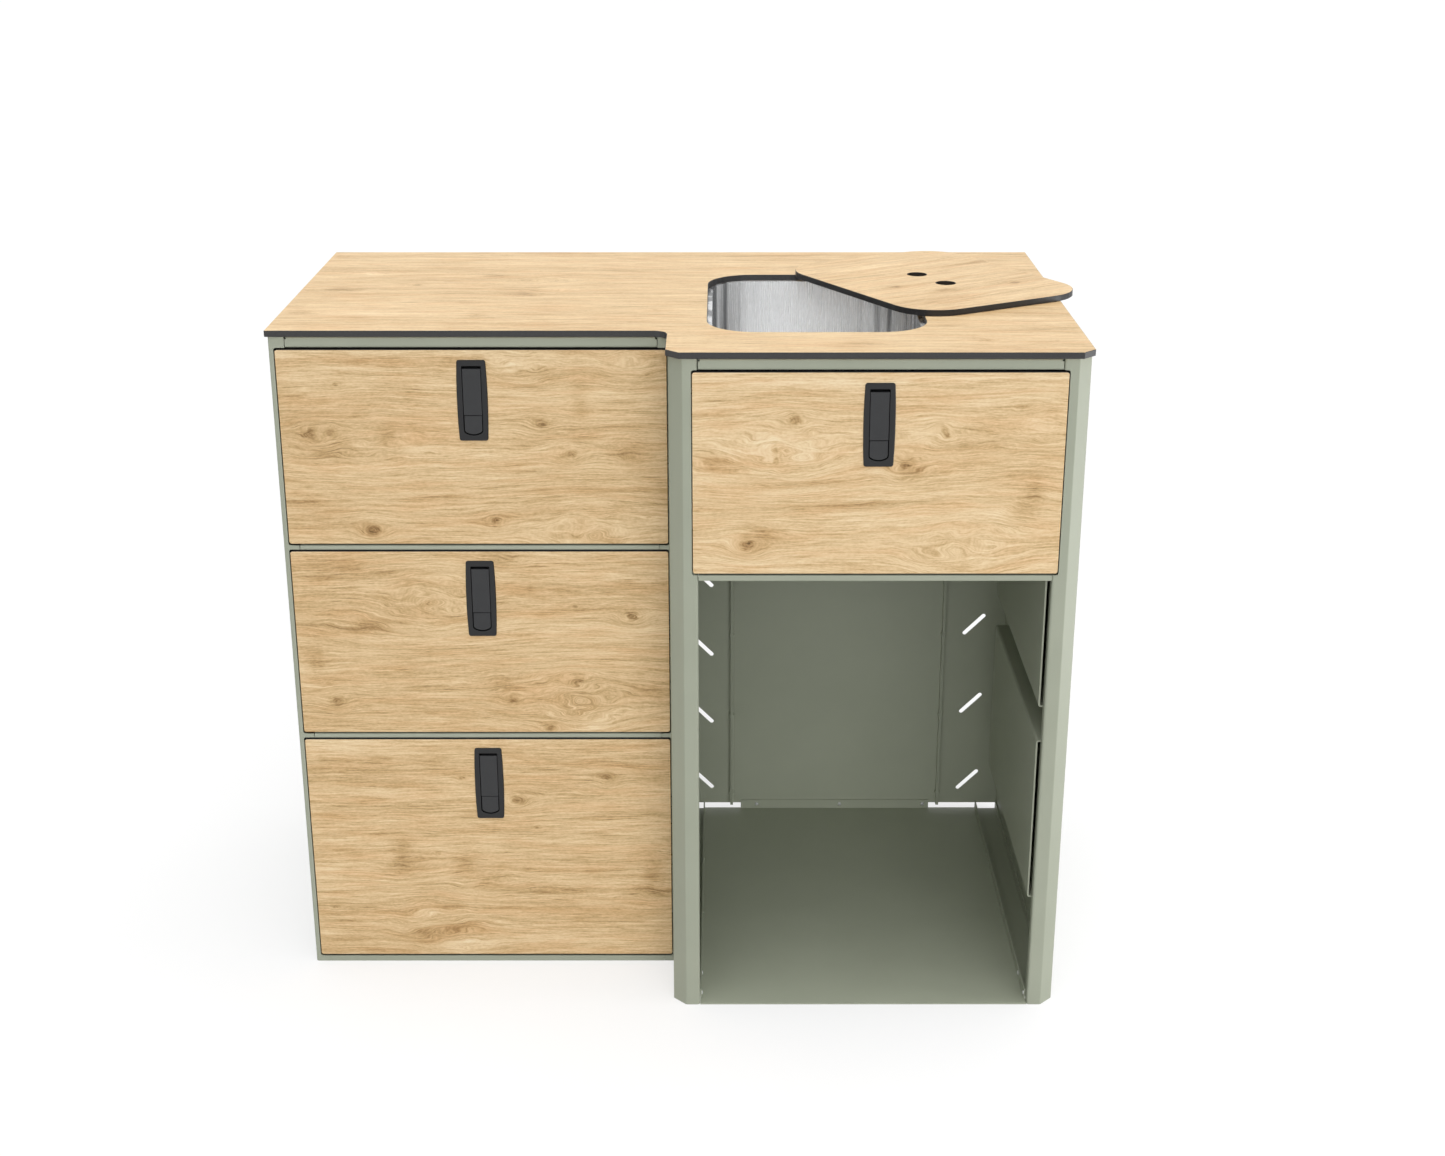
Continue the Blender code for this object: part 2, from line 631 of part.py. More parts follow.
def make_bay_side(pod, name, hand, flange, slots):
    """A side panel of the right unit: chamfered post, wall, slotted rear flange and lip."""
    def across(distance):
        return RIGHT_MIDDLE + hand * ((WIDTH - MID_FACE) / 2 - distance)
    path = [(across(POST_WIDTH), POST_RETURN), (across(POST_WIDTH), 0), (across(POST_CHAMFER), 0),
            (across(0), POST_CHAMFER), (across(0), CASE_REAR), (across(flange), CASE_REAR),
            (across(flange), CASE_REAR - REAR_LIP)]
    panel = pod.add(name, prism(folded(path, hand), 0, FRAME_TOP), "sage")
    inner, outer = sorted((across(POST_NOTCH), across(POST_WIDTH + CUT_OVER)))
    radii = [NOTCH_RADIUS, 0, 0, NOTCH_RADIUS] if hand < 0 else [0, NOTCH_RADIUS, NOTCH_RADIUS, 0]
    corners = [(inner, SHELF_TOP), (outer, SHELF_TOP), (outer, TOP_RAIL_LOW), (inner, TOP_RAIL_LOW)]
    cutter = prism(rounded(corners, radii), -CUT_OVER, POST_RETURN + CUT_OVER, "Y")
    pod.trim(panel, f"{name}_notch", cutter)
    left, right = sorted((across(SHEET + FIT), across(flange + CUT_OVER)))
    foot = block(left, right, CASE_REAR - REAR_LIP - CUT_OVER, CASE_REAR + CUT_OVER, -CUT_OVER, REAR_GAP)
    pod.trim(panel, f"{name}_rear_gap", foot)
    slot_set, low, pitch, count = slots
    for index in range(count):
        cutter = slot_cutter((across(slot_set), low + pitch * index), hand * SLOT_TURN)
        pod.trim(panel, f"{name}_slot_{index + 1}", cutter)


# Left unit's rails and pans

def make_left_rails(pod):
    """The top rail and the two rails between the left drawers."""
    left, right = TAB_WIDTH + RAIL_SEAM, TAB_RIGHT - RAIL_SEAM
    make_top_rail(pod, "left_top_rail", left, right, LEFT_FRONT)
    for name, low, high in (("upper_drawer_rail", UPPER_RAIL_LOW, UPPER_RAIL_TOP),
                            ("lower_drawer_rail", LOWER_RAIL_LOW, LOWER_RAIL_TOP)):
        path = [(LEFT_FRONT + RAIL_DEPTH, high), (LEFT_FRONT, high), (LEFT_FRONT, low)]
        pod.add(name, prism(folded(path, 1), left, right, "X"), "sage")


def make_top_rail(pod, name, left, right, front):
    """A channel under the worktop, open to the rear, relieved at the ends of its upper bend."""
    path = [(front + RAIL_DEPTH, FRAME_TOP), (front, FRAME_TOP), (front, TOP_RAIL_LOW),
            (front + RAIL_RETURN, TOP_RAIL_LOW)]
    rail = pod.add(name, prism(folded(path, 1), left, right, "X"), "sage")
    for side, near, far in (("left", left - CUT_OVER, left + RELIEF_WIDTH),
                            ("right", right - RELIEF_WIDTH, right + CUT_OVER)):
        corner = block(near, far, front - CUT_OVER, front + RELIEF_HEIGHT,
                       FRAME_TOP - RELIEF_HEIGHT, FRAME_TOP + CUT_OVER)
        pod.trim(rail, f"{name}_relief_{side}", corner)


def make_left_floor(pod):
    """The floor pan: upturned at the sides and rear, its low front edge is the foot rail."""
    left, right = LEFT_WALL + FIT, LEFT_INNER_RIGHT - SHEET - FIT
    rear = CASE_REAR - BEND - PAN_FLANGE - FIT
    outline = rectangle(left, right, LEFT_FRONT, rear)
    pan = pod.add("left_floor_pan", shell(outline, SHEET, 0, PAN_FLANGE, SHEET), "sage")
    lower = block(left - CUT_OVER, right + CUT_OVER, LEFT_FRONT - CUT_OVER,
                  LEFT_FRONT + BOARD + SHEET, FOOT_RAIL_HEIGHT, PAN_FLANGE + CUT_OVER)
    pod.trim(pan, "left_floor_pan_front", lower)
    for side, near, far in (("left", left - CUT_OVER, TAB_WIDTH + FIT),
                            ("right", TAB_RIGHT - FIT, right + CUT_OVER)):
        corner = block(near, far, LEFT_FRONT - CUT_OVER, LEFT_FRONT + BEND + FIT,
                       -CUT_OVER, PAN_FLANGE + CUT_OVER)
        pod.trim(pan, f"left_floor_pan_{side}", corner)


def make_left_back(pod):
    """The back of the left unit: a panel with its four edges folded forward."""
    left, right = LEFT_WALL + FIT, LEFT_INNER_RIGHT
    rear = CASE_REAR - BEND
    front = rear - PAN_FLANGE
    outer = rectangle(left, right, 0, FRAME_TOP)
    levels = ((0, rear), (0, front), (-SHEET, front), (-SHEET, rear - SHEET))
    rings = [[spatial(point, level, "Y") for point in grown(outer, shift)] for shift, level in levels]
    pod.add("left_back_panel", loft(rings), "sage")


# Right unit's panels and bay

def make_bay_back(pod):
    """The centre of the right unit's back: a panel with forward lips riveted to its neighbours."""
    left, right = MID_FACE + MID_REAR_FLANGE + FIT, WIDTH - RIGHT_REAR_FLANGE - FIT
    path = [(left, CASE_REAR - REAR_LIP), (left, CASE_REAR), (right, CASE_REAR),
            (right, CASE_REAR - REAR_LIP)]
    pod.add("bay_back_panel", prism(folded(path, -1), REAR_GAP, FRAME_TOP), "sage")


def make_bay_tray(pod):
    """The bay's floor with low upstands at both sides and at the middle of the rear."""
    left, right = BAY_LEFT + FIT, BAY_RIGHT - FIT
    rear = REAR_FACE - FIT
    tray = pod.add("bay_floor_tray", shell(rectangle(left, right, 0, rear), SHEET, 0, TRAY_UPSTAND, SHEET),
                   "sage")
    front = block(left - CUT_OVER, right + CUT_OVER, -CUT_OVER, TRAY_SIDE_FRONT,
                  SHEET, TRAY_UPSTAND + CUT_OVER)
    pod.trim(tray, "bay_tray_front", front)
    wall_front = rear - SHEET - CUT_OVER
    for side, near, far in (("left", left - CUT_OVER, TRAY_REAR_LEFT),
                            ("right", TRAY_REAR_RIGHT, right + CUT_OVER)):
        corner = block(near, far, wall_front, rear + CUT_OVER, SHEET, TRAY_UPSTAND + CUT_OVER)
        pod.trim(tray, f"bay_tray_{side}", corner)


def make_bay_shelf(pod):
    """The shelf between the drawer and the bay, with a lip in front and flanges at the sides."""
    left, right = MID_FACE + SHEET + FIT, WIDTH - SHEET - FIT
    rear = CASE_REAR - REAR_LIP - FIT
    high = SHELF_TOP + PAN_FLANGE
    shelf = pod.add("bay_shelf", block(left, right, 0, rear, SHELF_LOW, high), "sage")
    above = block(left + SHEET, right - SHEET, -CUT_OVER, rear - SHEET, SHELF_TOP, high + CUT_OVER)
    pod.trim(shelf, "bay_shelf_above", above)
    below = block(left - CUT_OVER, right + CUT_OVER, SHEET, rear + CUT_OVER,
                  SHELF_LOW - CUT_OVER, SHELF_TOP - SHEET)
    pod.trim(shelf, "bay_shelf_below", below)
    for side, near, far in (("left", left - CUT_OVER, BAY_LEFT + FIT),
                            ("right", BAY_RIGHT - FIT, right + CUT_OVER)):
        corner = block(near, far, -CUT_OVER, POST_CHAMFER + BEND, SHELF_LOW - CUT_OVER, high + CUT_OVER)
        pod.trim(shelf, f"bay_shelf_{side}", corner)


def make_liners(pod):
    """The two channels that cover the service duct along the bay's right wall."""
    face, wall = BAY_RIGHT - LINER_PROUD, WIDTH - SHEET - FIT
    for name, shares in zip(("middle", "upper"), LINER_LEVEL_SHARES):
        low, high = (SHELF_LOW * share for share in shares)
        path = [(wall, high), (face, high), (face, low), (wall, low)]
        section = folded(path, 1)
        liner = pod.add(f"bay_liner_{name}", prism(section, POST_RETURN + FIT, LINER_REAR, "Y"), "sage")
        corner = block(WIDTH - POST_CHAMFER - BEND, WIDTH, 0, POST_CHAMFER + BEND,
                       low - CUT_OVER, high + CUT_OVER)
        pod.trim(liner, f"bay_liner_{name}_corner", corner)


def make_floor_angles(pod):
    """The angle strips that close the floor between the bay's tray and the side panels."""
    front, rear = POST_CHAMFER + BEND + FIT, REAR_FACE - BEND
    for name, edge, wall, side in (("bay_liner_left", BAY_LEFT, MID_FACE + SHEET + FIT, -1),
                                   ("bay_liner_lower", BAY_RIGHT, WIDTH - SHEET - FIT, 1)):
        path = [(edge, 0), (wall, 0), (wall, PAN_FLANGE)]
        pod.add(name, prism(folded(path, side), front, rear, "Y"), "sage")


# Drawers

def drawer_list():
    """Each drawer's name, front edges, levels, front plane, runner faces and box top."""
    left_walls = (LEFT_WALL + FIT, LEFT_INNER_RIGHT)
    bracket = SHEET + BRACKET_FACE
    right_walls = (MID_FACE + bracket + FIT, WIDTH - bracket - FIT)
    drawers = []
    for name, low, high in left_openings():
        drawers.append({"name": name, "left": JAMB_LEFT + SIDE_REVEAL, "right": JAMB_RIGHT - SIDE_REVEAL,
                        "low": low + REVEAL, "high": high - REVEAL, "front": LEFT_FRONT,
                        "walls": left_walls, "box_top": high - REVEAL - BOX_DROP})
    drawers.append({"name": "sink", "left": MID_FACE + POST_NOTCH + SIDE_REVEAL,
                    "right": WIDTH - POST_NOTCH - SIDE_REVEAL, "low": SHELF_TOP + REVEAL,
                    "high": TOP_RAIL_LOW - REVEAL, "front": 0.0, "walls": right_walls,
                    "box_top": SINK_BOX_TOP})
    return drawers


def make_drawer(pod, drawer):
    """One drawer with its front, box, latch and runners under its own empty."""
    middle = (drawer["left"] + drawer["right"]) / 2
    place = Vector((middle, drawer["front"], drawer["low"]))
    carrier = pod.empty(f"{drawer['name']}_drawer", place, pod.root)
    latch = {"x": middle, "face": drawer["front"] - BEZEL_PROUD, "high": drawer["high"] - LATCH_DROP}
    make_front(pod, drawer, latch, carrier, place)
    make_box(pod, drawer, latch, carrier, place)
    make_housing(pod, drawer, latch, carrier)
    make_lever(pod, drawer, latch, carrier)
    make_button(pod, drawer, latch, carrier)
    for side, wall, hand in (("left", drawer["walls"][0], 1), ("right", drawer["walls"][1], -1)):
        make_runner(pod, drawer, side, wall, hand, carrier)


def cup_outline(latch, grow=0.0):
    """The latch's cup where it passes through the drawer front."""
    middle = (latch["x"], latch["high"] - BEZEL_HEIGHT / 2)
    return centred(middle, CUP_WIDTH / 2 + grow, CUP_HEIGHT / 2 + grow, CUP_CORNER)


def make_front(pod, drawer, latch, carrier, place):
    """The laminate front with the cut-out for its latch."""
    outline = rectangle(drawer["left"], drawer["right"], drawer["low"], drawer["high"], FRONT_CORNER)
    front, rear = drawer["front"], drawer["front"] + BOARD
    board = pod.add(f"{drawer['name']}_drawer_front", slab(outline, front, rear, "Y"), "oak",
                    place, carrier)
    cutter = prism(cup_outline(latch, FIT), front - CUT_OVER, rear + CUT_OVER, "Y")
    pod.trim(board, f"{drawer['name']}_latch_cutout", cutter)


def make_box(pod, drawer, latch, carrier, place):
    """The folded drawer box, notched in front where the latch reaches into it."""
    left = drawer["walls"][0] + RUNNER_WIDTH + FIT
    right = drawer["walls"][1] - RUNNER_WIDTH - FIT
    front, rear = drawer["front"] + BOARD + FIT, BOX_REAR
    low, high = drawer["low"] + BOX_LIFT, drawer["box_top"]
    outline = rectangle(left, right, front, rear, BOX_CORNER)
    box = pod.add(f"{drawer['name']}_drawer_box", shell(outline, BOX_SHEET, low, high, BOX_SHEET),
                  "sage", place, carrier)
    notch_low = latch["high"] - BEZEL_HEIGHT
    if notch_low > high:
        return
    half = CUP_WIDTH / 2 + CUP_NOTCH_PLAY
    cutter = prism(rectangle(latch["x"] - half, latch["x"] + half, notch_low, high + CUT_OVER),
                   front - CUT_OVER, front + BOX_SHEET + CUT_OVER, "Y")
    pod.trim(box, f"{drawer['name']}_box_notch", cutter)


def latch_outline(half_width, low, high, bow, low_radius, high_radius, sag):
    """An upright outline: its long sides may bow out, its low end may sag between two corners."""
    def side(hand, levels):
        centre, half = (low + high) / 2, (high - low) / 2
        return [(hand * (half_width + bow * (1 - ((level - centre) / half) ** 2)), level)
                for level in levels]
    corners = rounded([(-half_width, low), (half_width, low), (half_width, high), (-half_width, high)],
                      [low_radius, low_radius, high_radius, high_radius])
    start, end = low + low_radius + sag, high - high_radius
    rising = [start + (end - start) * (step + 1) / (SIDE_STEPS + 1) for step in range(SIDE_STEPS)]
    upper = corners[2 * (ARC_STEPS + 1):]
    return low_end(half_width, low, low_radius, sag) + side(1, rising) + upper + side(-1, rising[::-1])


def low_end(half_width, low, radius, sag):
    """The points round the low end of an outline, whose sides end higher than its middle by the sag."""
    flat = half_width - radius
    corners = rectangle(-half_width, half_width, low, low + 2 * half_width, radius)
    base = [(flat * (2 * (step + 1) / (END_STEPS + 1) - 1), low) for step in range(END_STEPS)]
    points = corners[:ARC_STEPS + 1] + base + corners[ARC_STEPS + 1:2 * (ARC_STEPS + 1)]
    return [(across, along + sag * (across / half_width) ** 2) for across, along in points]


def make_housing(pod, drawer, latch, carrier):
    """The latch's bezel and cup, with a recess for the lever and sockets for its pivots."""
    low, high = -BEZEL_HEIGHT, 0
    cup_low = (low - CUP_HEIGHT + high) / 2
    bezel = (BEZEL_END_WIDTH / 2, low, high, BEZEL_BOW, BEZEL_CORNER, BEZEL_CORNER, 0)
    small = (BEZEL_END_WIDTH / 2 - BEZEL_EDGE, low + BEZEL_EDGE, high - BEZEL_EDGE, BEZEL_BOW,
             BEZEL_CORNER - BEZEL_EDGE, BEZEL_CORNER - BEZEL_EDGE, 0)
    cup = (CUP_WIDTH / 2, cup_low, cup_low + CUP_HEIGHT, 0, CUP_CORNER, CUP_CORNER, 0)
    recess = recess_sizes(0)
    back = BEZEL_PROUD - FIT
    rings = [(cup, CUP_DEPTH), (cup, back), (bezel, back), (bezel, BEZEL_EDGE), (small, 0),
             (recess, 0), (recess, RECESS_DEPTH)]
    mesh = loft([[(latch["x"] + across, latch["face"] + depth, latch["high"] + along)
                  for across, along in latch_outline(*sizes)] for sizes, depth in rings])
    place = (latch["x"], latch["face"], latch["high"])
    housing = pod.add(f"{drawer['name']}_latch_housing", mesh, "black", place, carrier)
    pivot = pivot_place(latch)
    reach = RECESS_WIDTH / 2 + PIVOT_STUB
    socket = circle((pivot[1], pivot[2]), PIVOT_RADIUS + FIT, PIVOT_STEPS)
    cutter = prism(socket, latch["x"] - reach, latch["x"] + reach, "X")
    pod.trim(housing, f"{drawer['name']}_latch_sockets", cutter)


def recess_sizes(shrink):
    """The recess of the latch as the sizes of an outline, drawn in by a distance."""
    high = -RECESS_TOP_GAP - shrink
    low = -RECESS_TOP_GAP - RECESS_HEIGHT + shrink
    half_width = RECESS_WIDTH / 2 - shrink
    return (half_width, low, high, 0, RECESS_END_RADIUS - shrink, RECESS_CORNER, RECESS_END_SAG)


def pivot_place(latch):
    """The point where the lever's pivot axis crosses the latch's middle plane."""
    depth = LEVER_INSET + KNUCKLE_RADIUS
    return latch["x"], latch["face"] + depth, latch["high"] - RECESS_TOP_GAP - PIVOT_DROP


def lever_split():
    """How far the lever reaches below the top of the latch."""
    return RECESS_TOP_GAP + RECESS_HEIGHT * LEVER_SHARE


def make_lever(pod, drawer, latch, carrier):
    """The pull lever: a flat-topped knuckle on two pivot stubs, a plate and a grip at its end."""
    pivot = pivot_place(latch)
    face = latch["face"] + LEVER_INSET
    low = latch["high"] - lever_split()
    outline = [(face, low), (face + GRIP_LIP + LEVER_THICKNESS, low),
               (face + GRIP_LIP + LEVER_THICKNESS, low + LEVER_THICKNESS / 2),
               (face + LEVER_THICKNESS, low + LEVER_THICKNESS),
               (face + LEVER_THICKNESS, pivot[2] - 2 * KNUCKLE_RADIUS)]
    crown = math.asin(KNUCKLE_RISE / KNUCKLE_RADIUS)
    for step in range(KNUCKLE_STEPS + 1):
        spoke = turn((KNUCKLE_RADIUS, 0), crown * step / KNUCKLE_STEPS)
        outline.append((pivot[1] + spoke[0], pivot[2] + spoke[1]))
    corner_high = pivot[2] + KNUCKLE_RISE - LEVER_CORNER
    for step in range(ARC_STEPS + 1):
        spoke = turn((0, LEVER_CORNER), math.pi / 2 * step / ARC_STEPS)
        outline.append((face + LEVER_CORNER + spoke[0], corner_high + spoke[1]))
    half = RECESS_WIDTH / 2 - LEVER_PLAY
    lever = pod.add(f"{drawer['name']}_latch_lever",
                    prism(outline, latch["x"] - half, latch["x"] + half, "X"), "black", pivot, carrier)
    reach = RECESS_WIDTH / 2 + PIVOT_STUB - FIT
    stub = prism(circle((pivot[1], pivot[2]), PIVOT_RADIUS, PIVOT_STEPS),
                 latch["x"] - reach, latch["x"] + reach, "X")
    pod.trim(lever, f"{drawer['name']}_latch_pivot", stub, "UNION")


def make_button(pod, drawer, latch, carrier):
    """The push button that fills the sagging lower end of the recess."""
    half, low, _, _, radius, _, sag = recess_sizes(LEVER_PLAY)
    high = -lever_split() - SPLIT_GAP
    front = latch["face"] + LEVER_INSET + BUTTON_INSET
    points = low_end(half, low, radius, sag) + [(half, high), (-half, high)]
    outline = [(latch["x"] + across, latch["high"] + along) for across, along in points]
    place = (latch["x"], front, latch["high"] + (low + high) / 2)
    pod.add(f"{drawer['name']}_latch_button", slab(outline, front, front + BUTTON_DEPTH, "Y"), "black",
            place, carrier)


def make_runner(pod, drawer, side, wall, hand, carrier):
    """A two-part runner: a channel fixed to the carcass and a slide fixed to the box."""
    low = drawer["low"] + BOX_LIFT + RUNNER_LIFT
    high = low + RUNNER_HEIGHT
    mouth = wall + hand * RUNNER_CHANNEL
    path = [(mouth, high), (wall, high), (wall, low), (mouth, low)]
    section = folded(path, hand, RUNNER_SHEET, RUNNER_BEND)
    front = drawer["front"] + RUNNER_FRONT
    pod.add(f"{drawer['name']}_runner_{side}", prism(section, front, RUNNER_REAR, "Y"), "zinc")
    near, far = wall + hand * RUNNER_SET, wall + hand * RUNNER_WIDTH
    play = RUNNER_SHEET + RUNNER_PLAY
    path = [(near, high - play), (far, high - play), (far, low + play), (near, low + play)]
    section = folded(path, -hand, RUNNER_SHEET, RUNNER_BEND)
    slide_front = drawer["front"] + BOARD + SLIDE_FRONT
    place = (far, slide_front, low)
    pod.add(f"{drawer['name']}_slide_{side}", prism(section, slide_front, SLIDE_REAR, "Y"), "zinc",
            place, carrier)


def make_brackets(pod, drawer):
    """The hat sections that bring the sink drawer's runners in line with its opening."""
    low = drawer["low"] + BOX_LIFT + RUNNER_LIFT - BRACKET_MARGIN
    high = low + RUNNER_HEIGHT + 2 * BRACKET_MARGIN
    for side, face, hand in (("left", MID_FACE + SHEET + FIT, 1), ("right", WIDTH - SHEET - FIT, -1)):
        ridge = face + hand * (BRACKET_FACE - FIT - SHEET)
        path = [(face, high + BRACKET_FOOT), (face, high), (ridge, high), (ridge, low), (face, low),
                (face, low - BRACKET_FOOT)]
        section = folded(path, hand)
        front = drawer["front"] + RUNNER_FRONT
        pod.add(f"runner_bracket_{side}", prism(section, front, RUNNER_REAR, "Y"), "zinc")


def build():
    """The whole pod."""
    pod = Pod()
    make_worktop(pod)
    make_lid(pod)
    make_bowl(pod)
    make_drain(pod)
    make_left_side(pod)
    make_mid_jamb(pod)
    make_bay_side(pod, "middle_side_panel", -1, MID_REAR_FLANGE,
                  (LEFT_SLOT_SET, LEFT_SLOT_LOW, LEFT_SLOT_PITCH, LEFT_SLOTS))
    make_bay_side(pod, "right_side_panel", 1, RIGHT_REAR_FLANGE,
                  (RIGHT_SLOT_SET, RIGHT_SLOT_LOW, RIGHT_SLOT_PITCH, RIGHT_SLOTS))
    make_left_rails(pod)
    make_left_floor(pod)
    make_left_back(pod)
    make_top_rail(pod, "right_top_rail", BAY_LEFT + RAIL_SEAM, BAY_RIGHT - RAIL_SEAM, 0.0)
    make_bay_back(pod)
    make_bay_tray(pod)
    make_bay_shelf(pod)
    make_liners(pod)
    make_floor_angles(pod)
    drawers = drawer_list()
    for drawer in drawers:
        make_drawer(pod, drawer)
    make_brackets(pod, drawers[-1])


build()
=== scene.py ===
"""The campervan kitchen pod's looks: its finishes, small fasteners, studio and camera. Lengths are metres.
In the oak decor sizes are millimetres, and a mark's place is two shares of half its board."""
import json
import math

import bmesh
import bpy
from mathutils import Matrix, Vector


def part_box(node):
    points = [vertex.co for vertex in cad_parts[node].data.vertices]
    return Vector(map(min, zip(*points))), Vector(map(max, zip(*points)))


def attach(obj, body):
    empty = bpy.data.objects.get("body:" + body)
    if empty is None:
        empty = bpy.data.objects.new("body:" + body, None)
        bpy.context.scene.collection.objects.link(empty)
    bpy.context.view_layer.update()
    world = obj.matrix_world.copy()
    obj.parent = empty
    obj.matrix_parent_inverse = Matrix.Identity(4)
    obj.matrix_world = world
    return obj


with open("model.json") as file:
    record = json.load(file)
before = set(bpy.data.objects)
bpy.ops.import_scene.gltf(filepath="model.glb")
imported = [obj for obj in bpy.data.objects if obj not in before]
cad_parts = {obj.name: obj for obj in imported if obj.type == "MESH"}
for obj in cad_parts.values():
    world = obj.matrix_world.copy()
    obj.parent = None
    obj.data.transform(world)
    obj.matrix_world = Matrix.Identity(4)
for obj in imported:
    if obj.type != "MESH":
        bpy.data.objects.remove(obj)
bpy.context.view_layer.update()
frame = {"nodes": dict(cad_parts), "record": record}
nodes = frame["nodes"]
slots = {part["node"]: part["material_slot"] for part in frame["record"]["subparts"]}
DRAWERS = ("top", "middle", "bottom", "sink")


# Colour, noise and node helpers

# Each noise has its waves along three axes, the step that its seed adds, its detail and its roughness
NOISES = {
    "oak_wave": ((330.0, 90.0, 200.0), 0.0, 2.0, 0.50),
    "oak_ripple": ((70.0, 20.0, 100.0), 7.3, 2.0, 0.50),
    "oak_drift": ((46.0, 16.0, 60.0), 5.7, 1.0, 0.62),
    "oak_rough": ((30.0, 10.0, 60.0), 0.0, 4.0, 0.62),
    "oak_pores": ((30.0, 1.3, 60.0), 21.0, 2.0, 0.60),
    "oak_lines": ((130.0, 2.4, 90.0), 33.0, 2.0, 0.55),
    "oak_worn": ((7.0, 3.0, 30.0), 55.0, 3.0, 0.60),
    "oak_red": ((120.0, 16.0, 100.0), 40.0, 2.0, 0.50),
    "core_sheets": ((0.2, 0.2, 0.0011), 2.0, 3.0, 0.60),
    "core_specks": ((0.0016, 0.0016, 0.0016), 5.0, 2.0, 0.60),
    "coat_peel": ((0.0022, 0.0022, 0.0022), 1.0, 2.0, 0.55),
    "coat_fine": ((0.0006, 0.0006, 0.0006), 9.0, 1.0, 0.50),
    "coat_cloud": ((0.11, 0.11, 0.11), 4.0, 3.0, 0.55),
    "steel_fine": ((0.0007, 0.0007, 0.060), 1.0, 3.0, 0.65),
    "steel_broad": ((0.0075, 0.0075, 0.50), 6.0, 2.0, 0.55),
    # The bands of the bowl's painted dark reflections
    "steel_painted_bands": ((0.014, 0.030, 0.90), 3.0, 1.0, 0.50),
    "plastic_grain": ((0.0005, 0.0005, 0.0005), 2.0, 2.0, 0.60),
    "plastic_cloud": ((0.018, 0.018, 0.018), 3.0, 2.0, 0.50),
    "zinc_cloud": ((0.012, 0.012, 0.012), 3.0, 3.0, 0.60),
    "floor_dust": ((0.9, 0.9, 0.9), 0.0, 3.0, 0.50),
}
MIDDLE_RANGE = (0.3, 0.7)
WIDE_RANGE = (0.25, 0.75)


def linear(red, green, blue):
    """The linear colour of a screen colour given out of 255."""
    shares = [value / 255 for value in (red, green, blue)]
    curve = [s / 12.92 if s <= 0.04045 else ((s + 0.055) / 1.055) ** 2.4 for s in shares]
    return (*curve, 1.0)


class Graph:
    """A node tree, with short calls that add a node, fill its sockets and return what it gives."""

    def __init__(self, tree):
        self.tree = tree

    def add(self, kind, inputs=None, **settings):
        node = self.tree.nodes.new(kind)
        for name, value in settings.items():
            setattr(node, name, value)
        for name, value in (inputs or {}).items():
            self.fill(node.inputs[name], value)
        return node

    def fill(self, socket, value):
        if isinstance(value, bpy.types.NodeSocket):
            self.tree.links.new(value, socket)
        else:
            socket.default_value = value

    def math(self, operation, first, second=0.0, third=0.0):
        values = {0: first, 1: second, 2: third}
        return self.add("ShaderNodeMath", values, operation=operation).outputs[0]

    def vector(self, operation, first, second=(0.0, 0.0, 0.0), scale=None):
        values = {0: first, 1: second}
        if scale is not None:
            values["Scale"] = scale
        node = self.add("ShaderNodeVectorMath", values, operation=operation)
        return node.outputs["Value" if operation == "DOT_PRODUCT" else "Vector"]

    def join(self, along, across, through=0.0):
        values = {"X": along, "Y": across, "Z": through}
        return self.add("ShaderNodeCombineXYZ", values).outputs[0]

    def part(self, vector, axis):
        return self.add("ShaderNodeSeparateXYZ", {"Vector": vector}).outputs[axis]

    def stretch(self, place, waves, offset=0.0):
        """The place, counted in waves of these lengths along its three axes."""
        shares = [1 / wave for wave in waves]
        scaled = self.vector("MULTIPLY", place, shares)
        return self.vector("ADD", scaled, (offset, offset, offset))

    def noise(self, place, waves, offset, detail, roughness, output="Fac"):
        values = {
            "Vector": self.stretch(place, waves, offset),
            "Scale": 1.0,
            "Detail": detail,
            "Roughness": roughness,
        }
        return self.add("ShaderNodeTexNoise", values).outputs[output]

    def named_noise(self, name, place, seed=0.0, output="Fac"):
        waves, seed_step, detail, roughness = NOISES[name]
        return self.noise(place, waves, seed + seed_step, detail, roughness, output)

    def remap(self, value, low, high, to_low=0.0, to_high=1.0):
        values = {"Value": value, "From Min": low, "From Max": high, "To Min": to_low, "To Max": to_high}
        return self.add("ShaderNodeMapRange", values).outputs["Result"]

    def blend(self, first, second, first_share):
        """The sum of two values, the first by this share and the second by the rest."""
        rest = self.math("MULTIPLY", second, 1.0 - first_share)
        return self.math("MULTIPLY_ADD", first, first_share, rest)

    def ramp(self, value, stops):
        node = self.add("ShaderNodeValToRGB", {"Fac": value})
        elements = node.color_ramp.elements
        while len(elements) < len(stops):
            elements.new(1.0)
        for element, (place, colour) in zip(elements, stops):
            element.position = place
            element.color = colour
        return node.outputs["Color"]

    def mix(self, share, first, second, blend="MIX"):
        node = self.add("ShaderNodeMix", data_type="RGBA", blend_type=blend)
        self.fill(node.inputs[0], share)
        self.fill(node.inputs[6], first)
        self.fill(node.inputs[7], second)
        return node.outputs[2]

    def bump(self, height, distance, strength):
        values = {"Height": height, "Distance": distance, "Strength": strength}
        return self.add("ShaderNodeBump", values).outputs["Normal"]


def new_material(name):
    """A material with its graph, its Principled shader and its place in the pod's own frame."""
    material = bpy.data.materials.new(name)
    material.use_nodes = True
    graph = Graph(material.node_tree)
    shader = material.node_tree.nodes["Principled BSDF"]
    place = graph.add("ShaderNodeTexCoord").outputs["Object"]
    return material, graph, shader, place


def dress_shader(graph, shader, colour, roughness, normal):
    """Joins what differs over a surface to the shader."""
    graph.fill(shader.inputs["Base Color"], colour)
    graph.fill(shader.inputs["Roughness"], roughness)
    graph.fill(shader.inputs["Normal"], normal)


# Marks in the oak decor

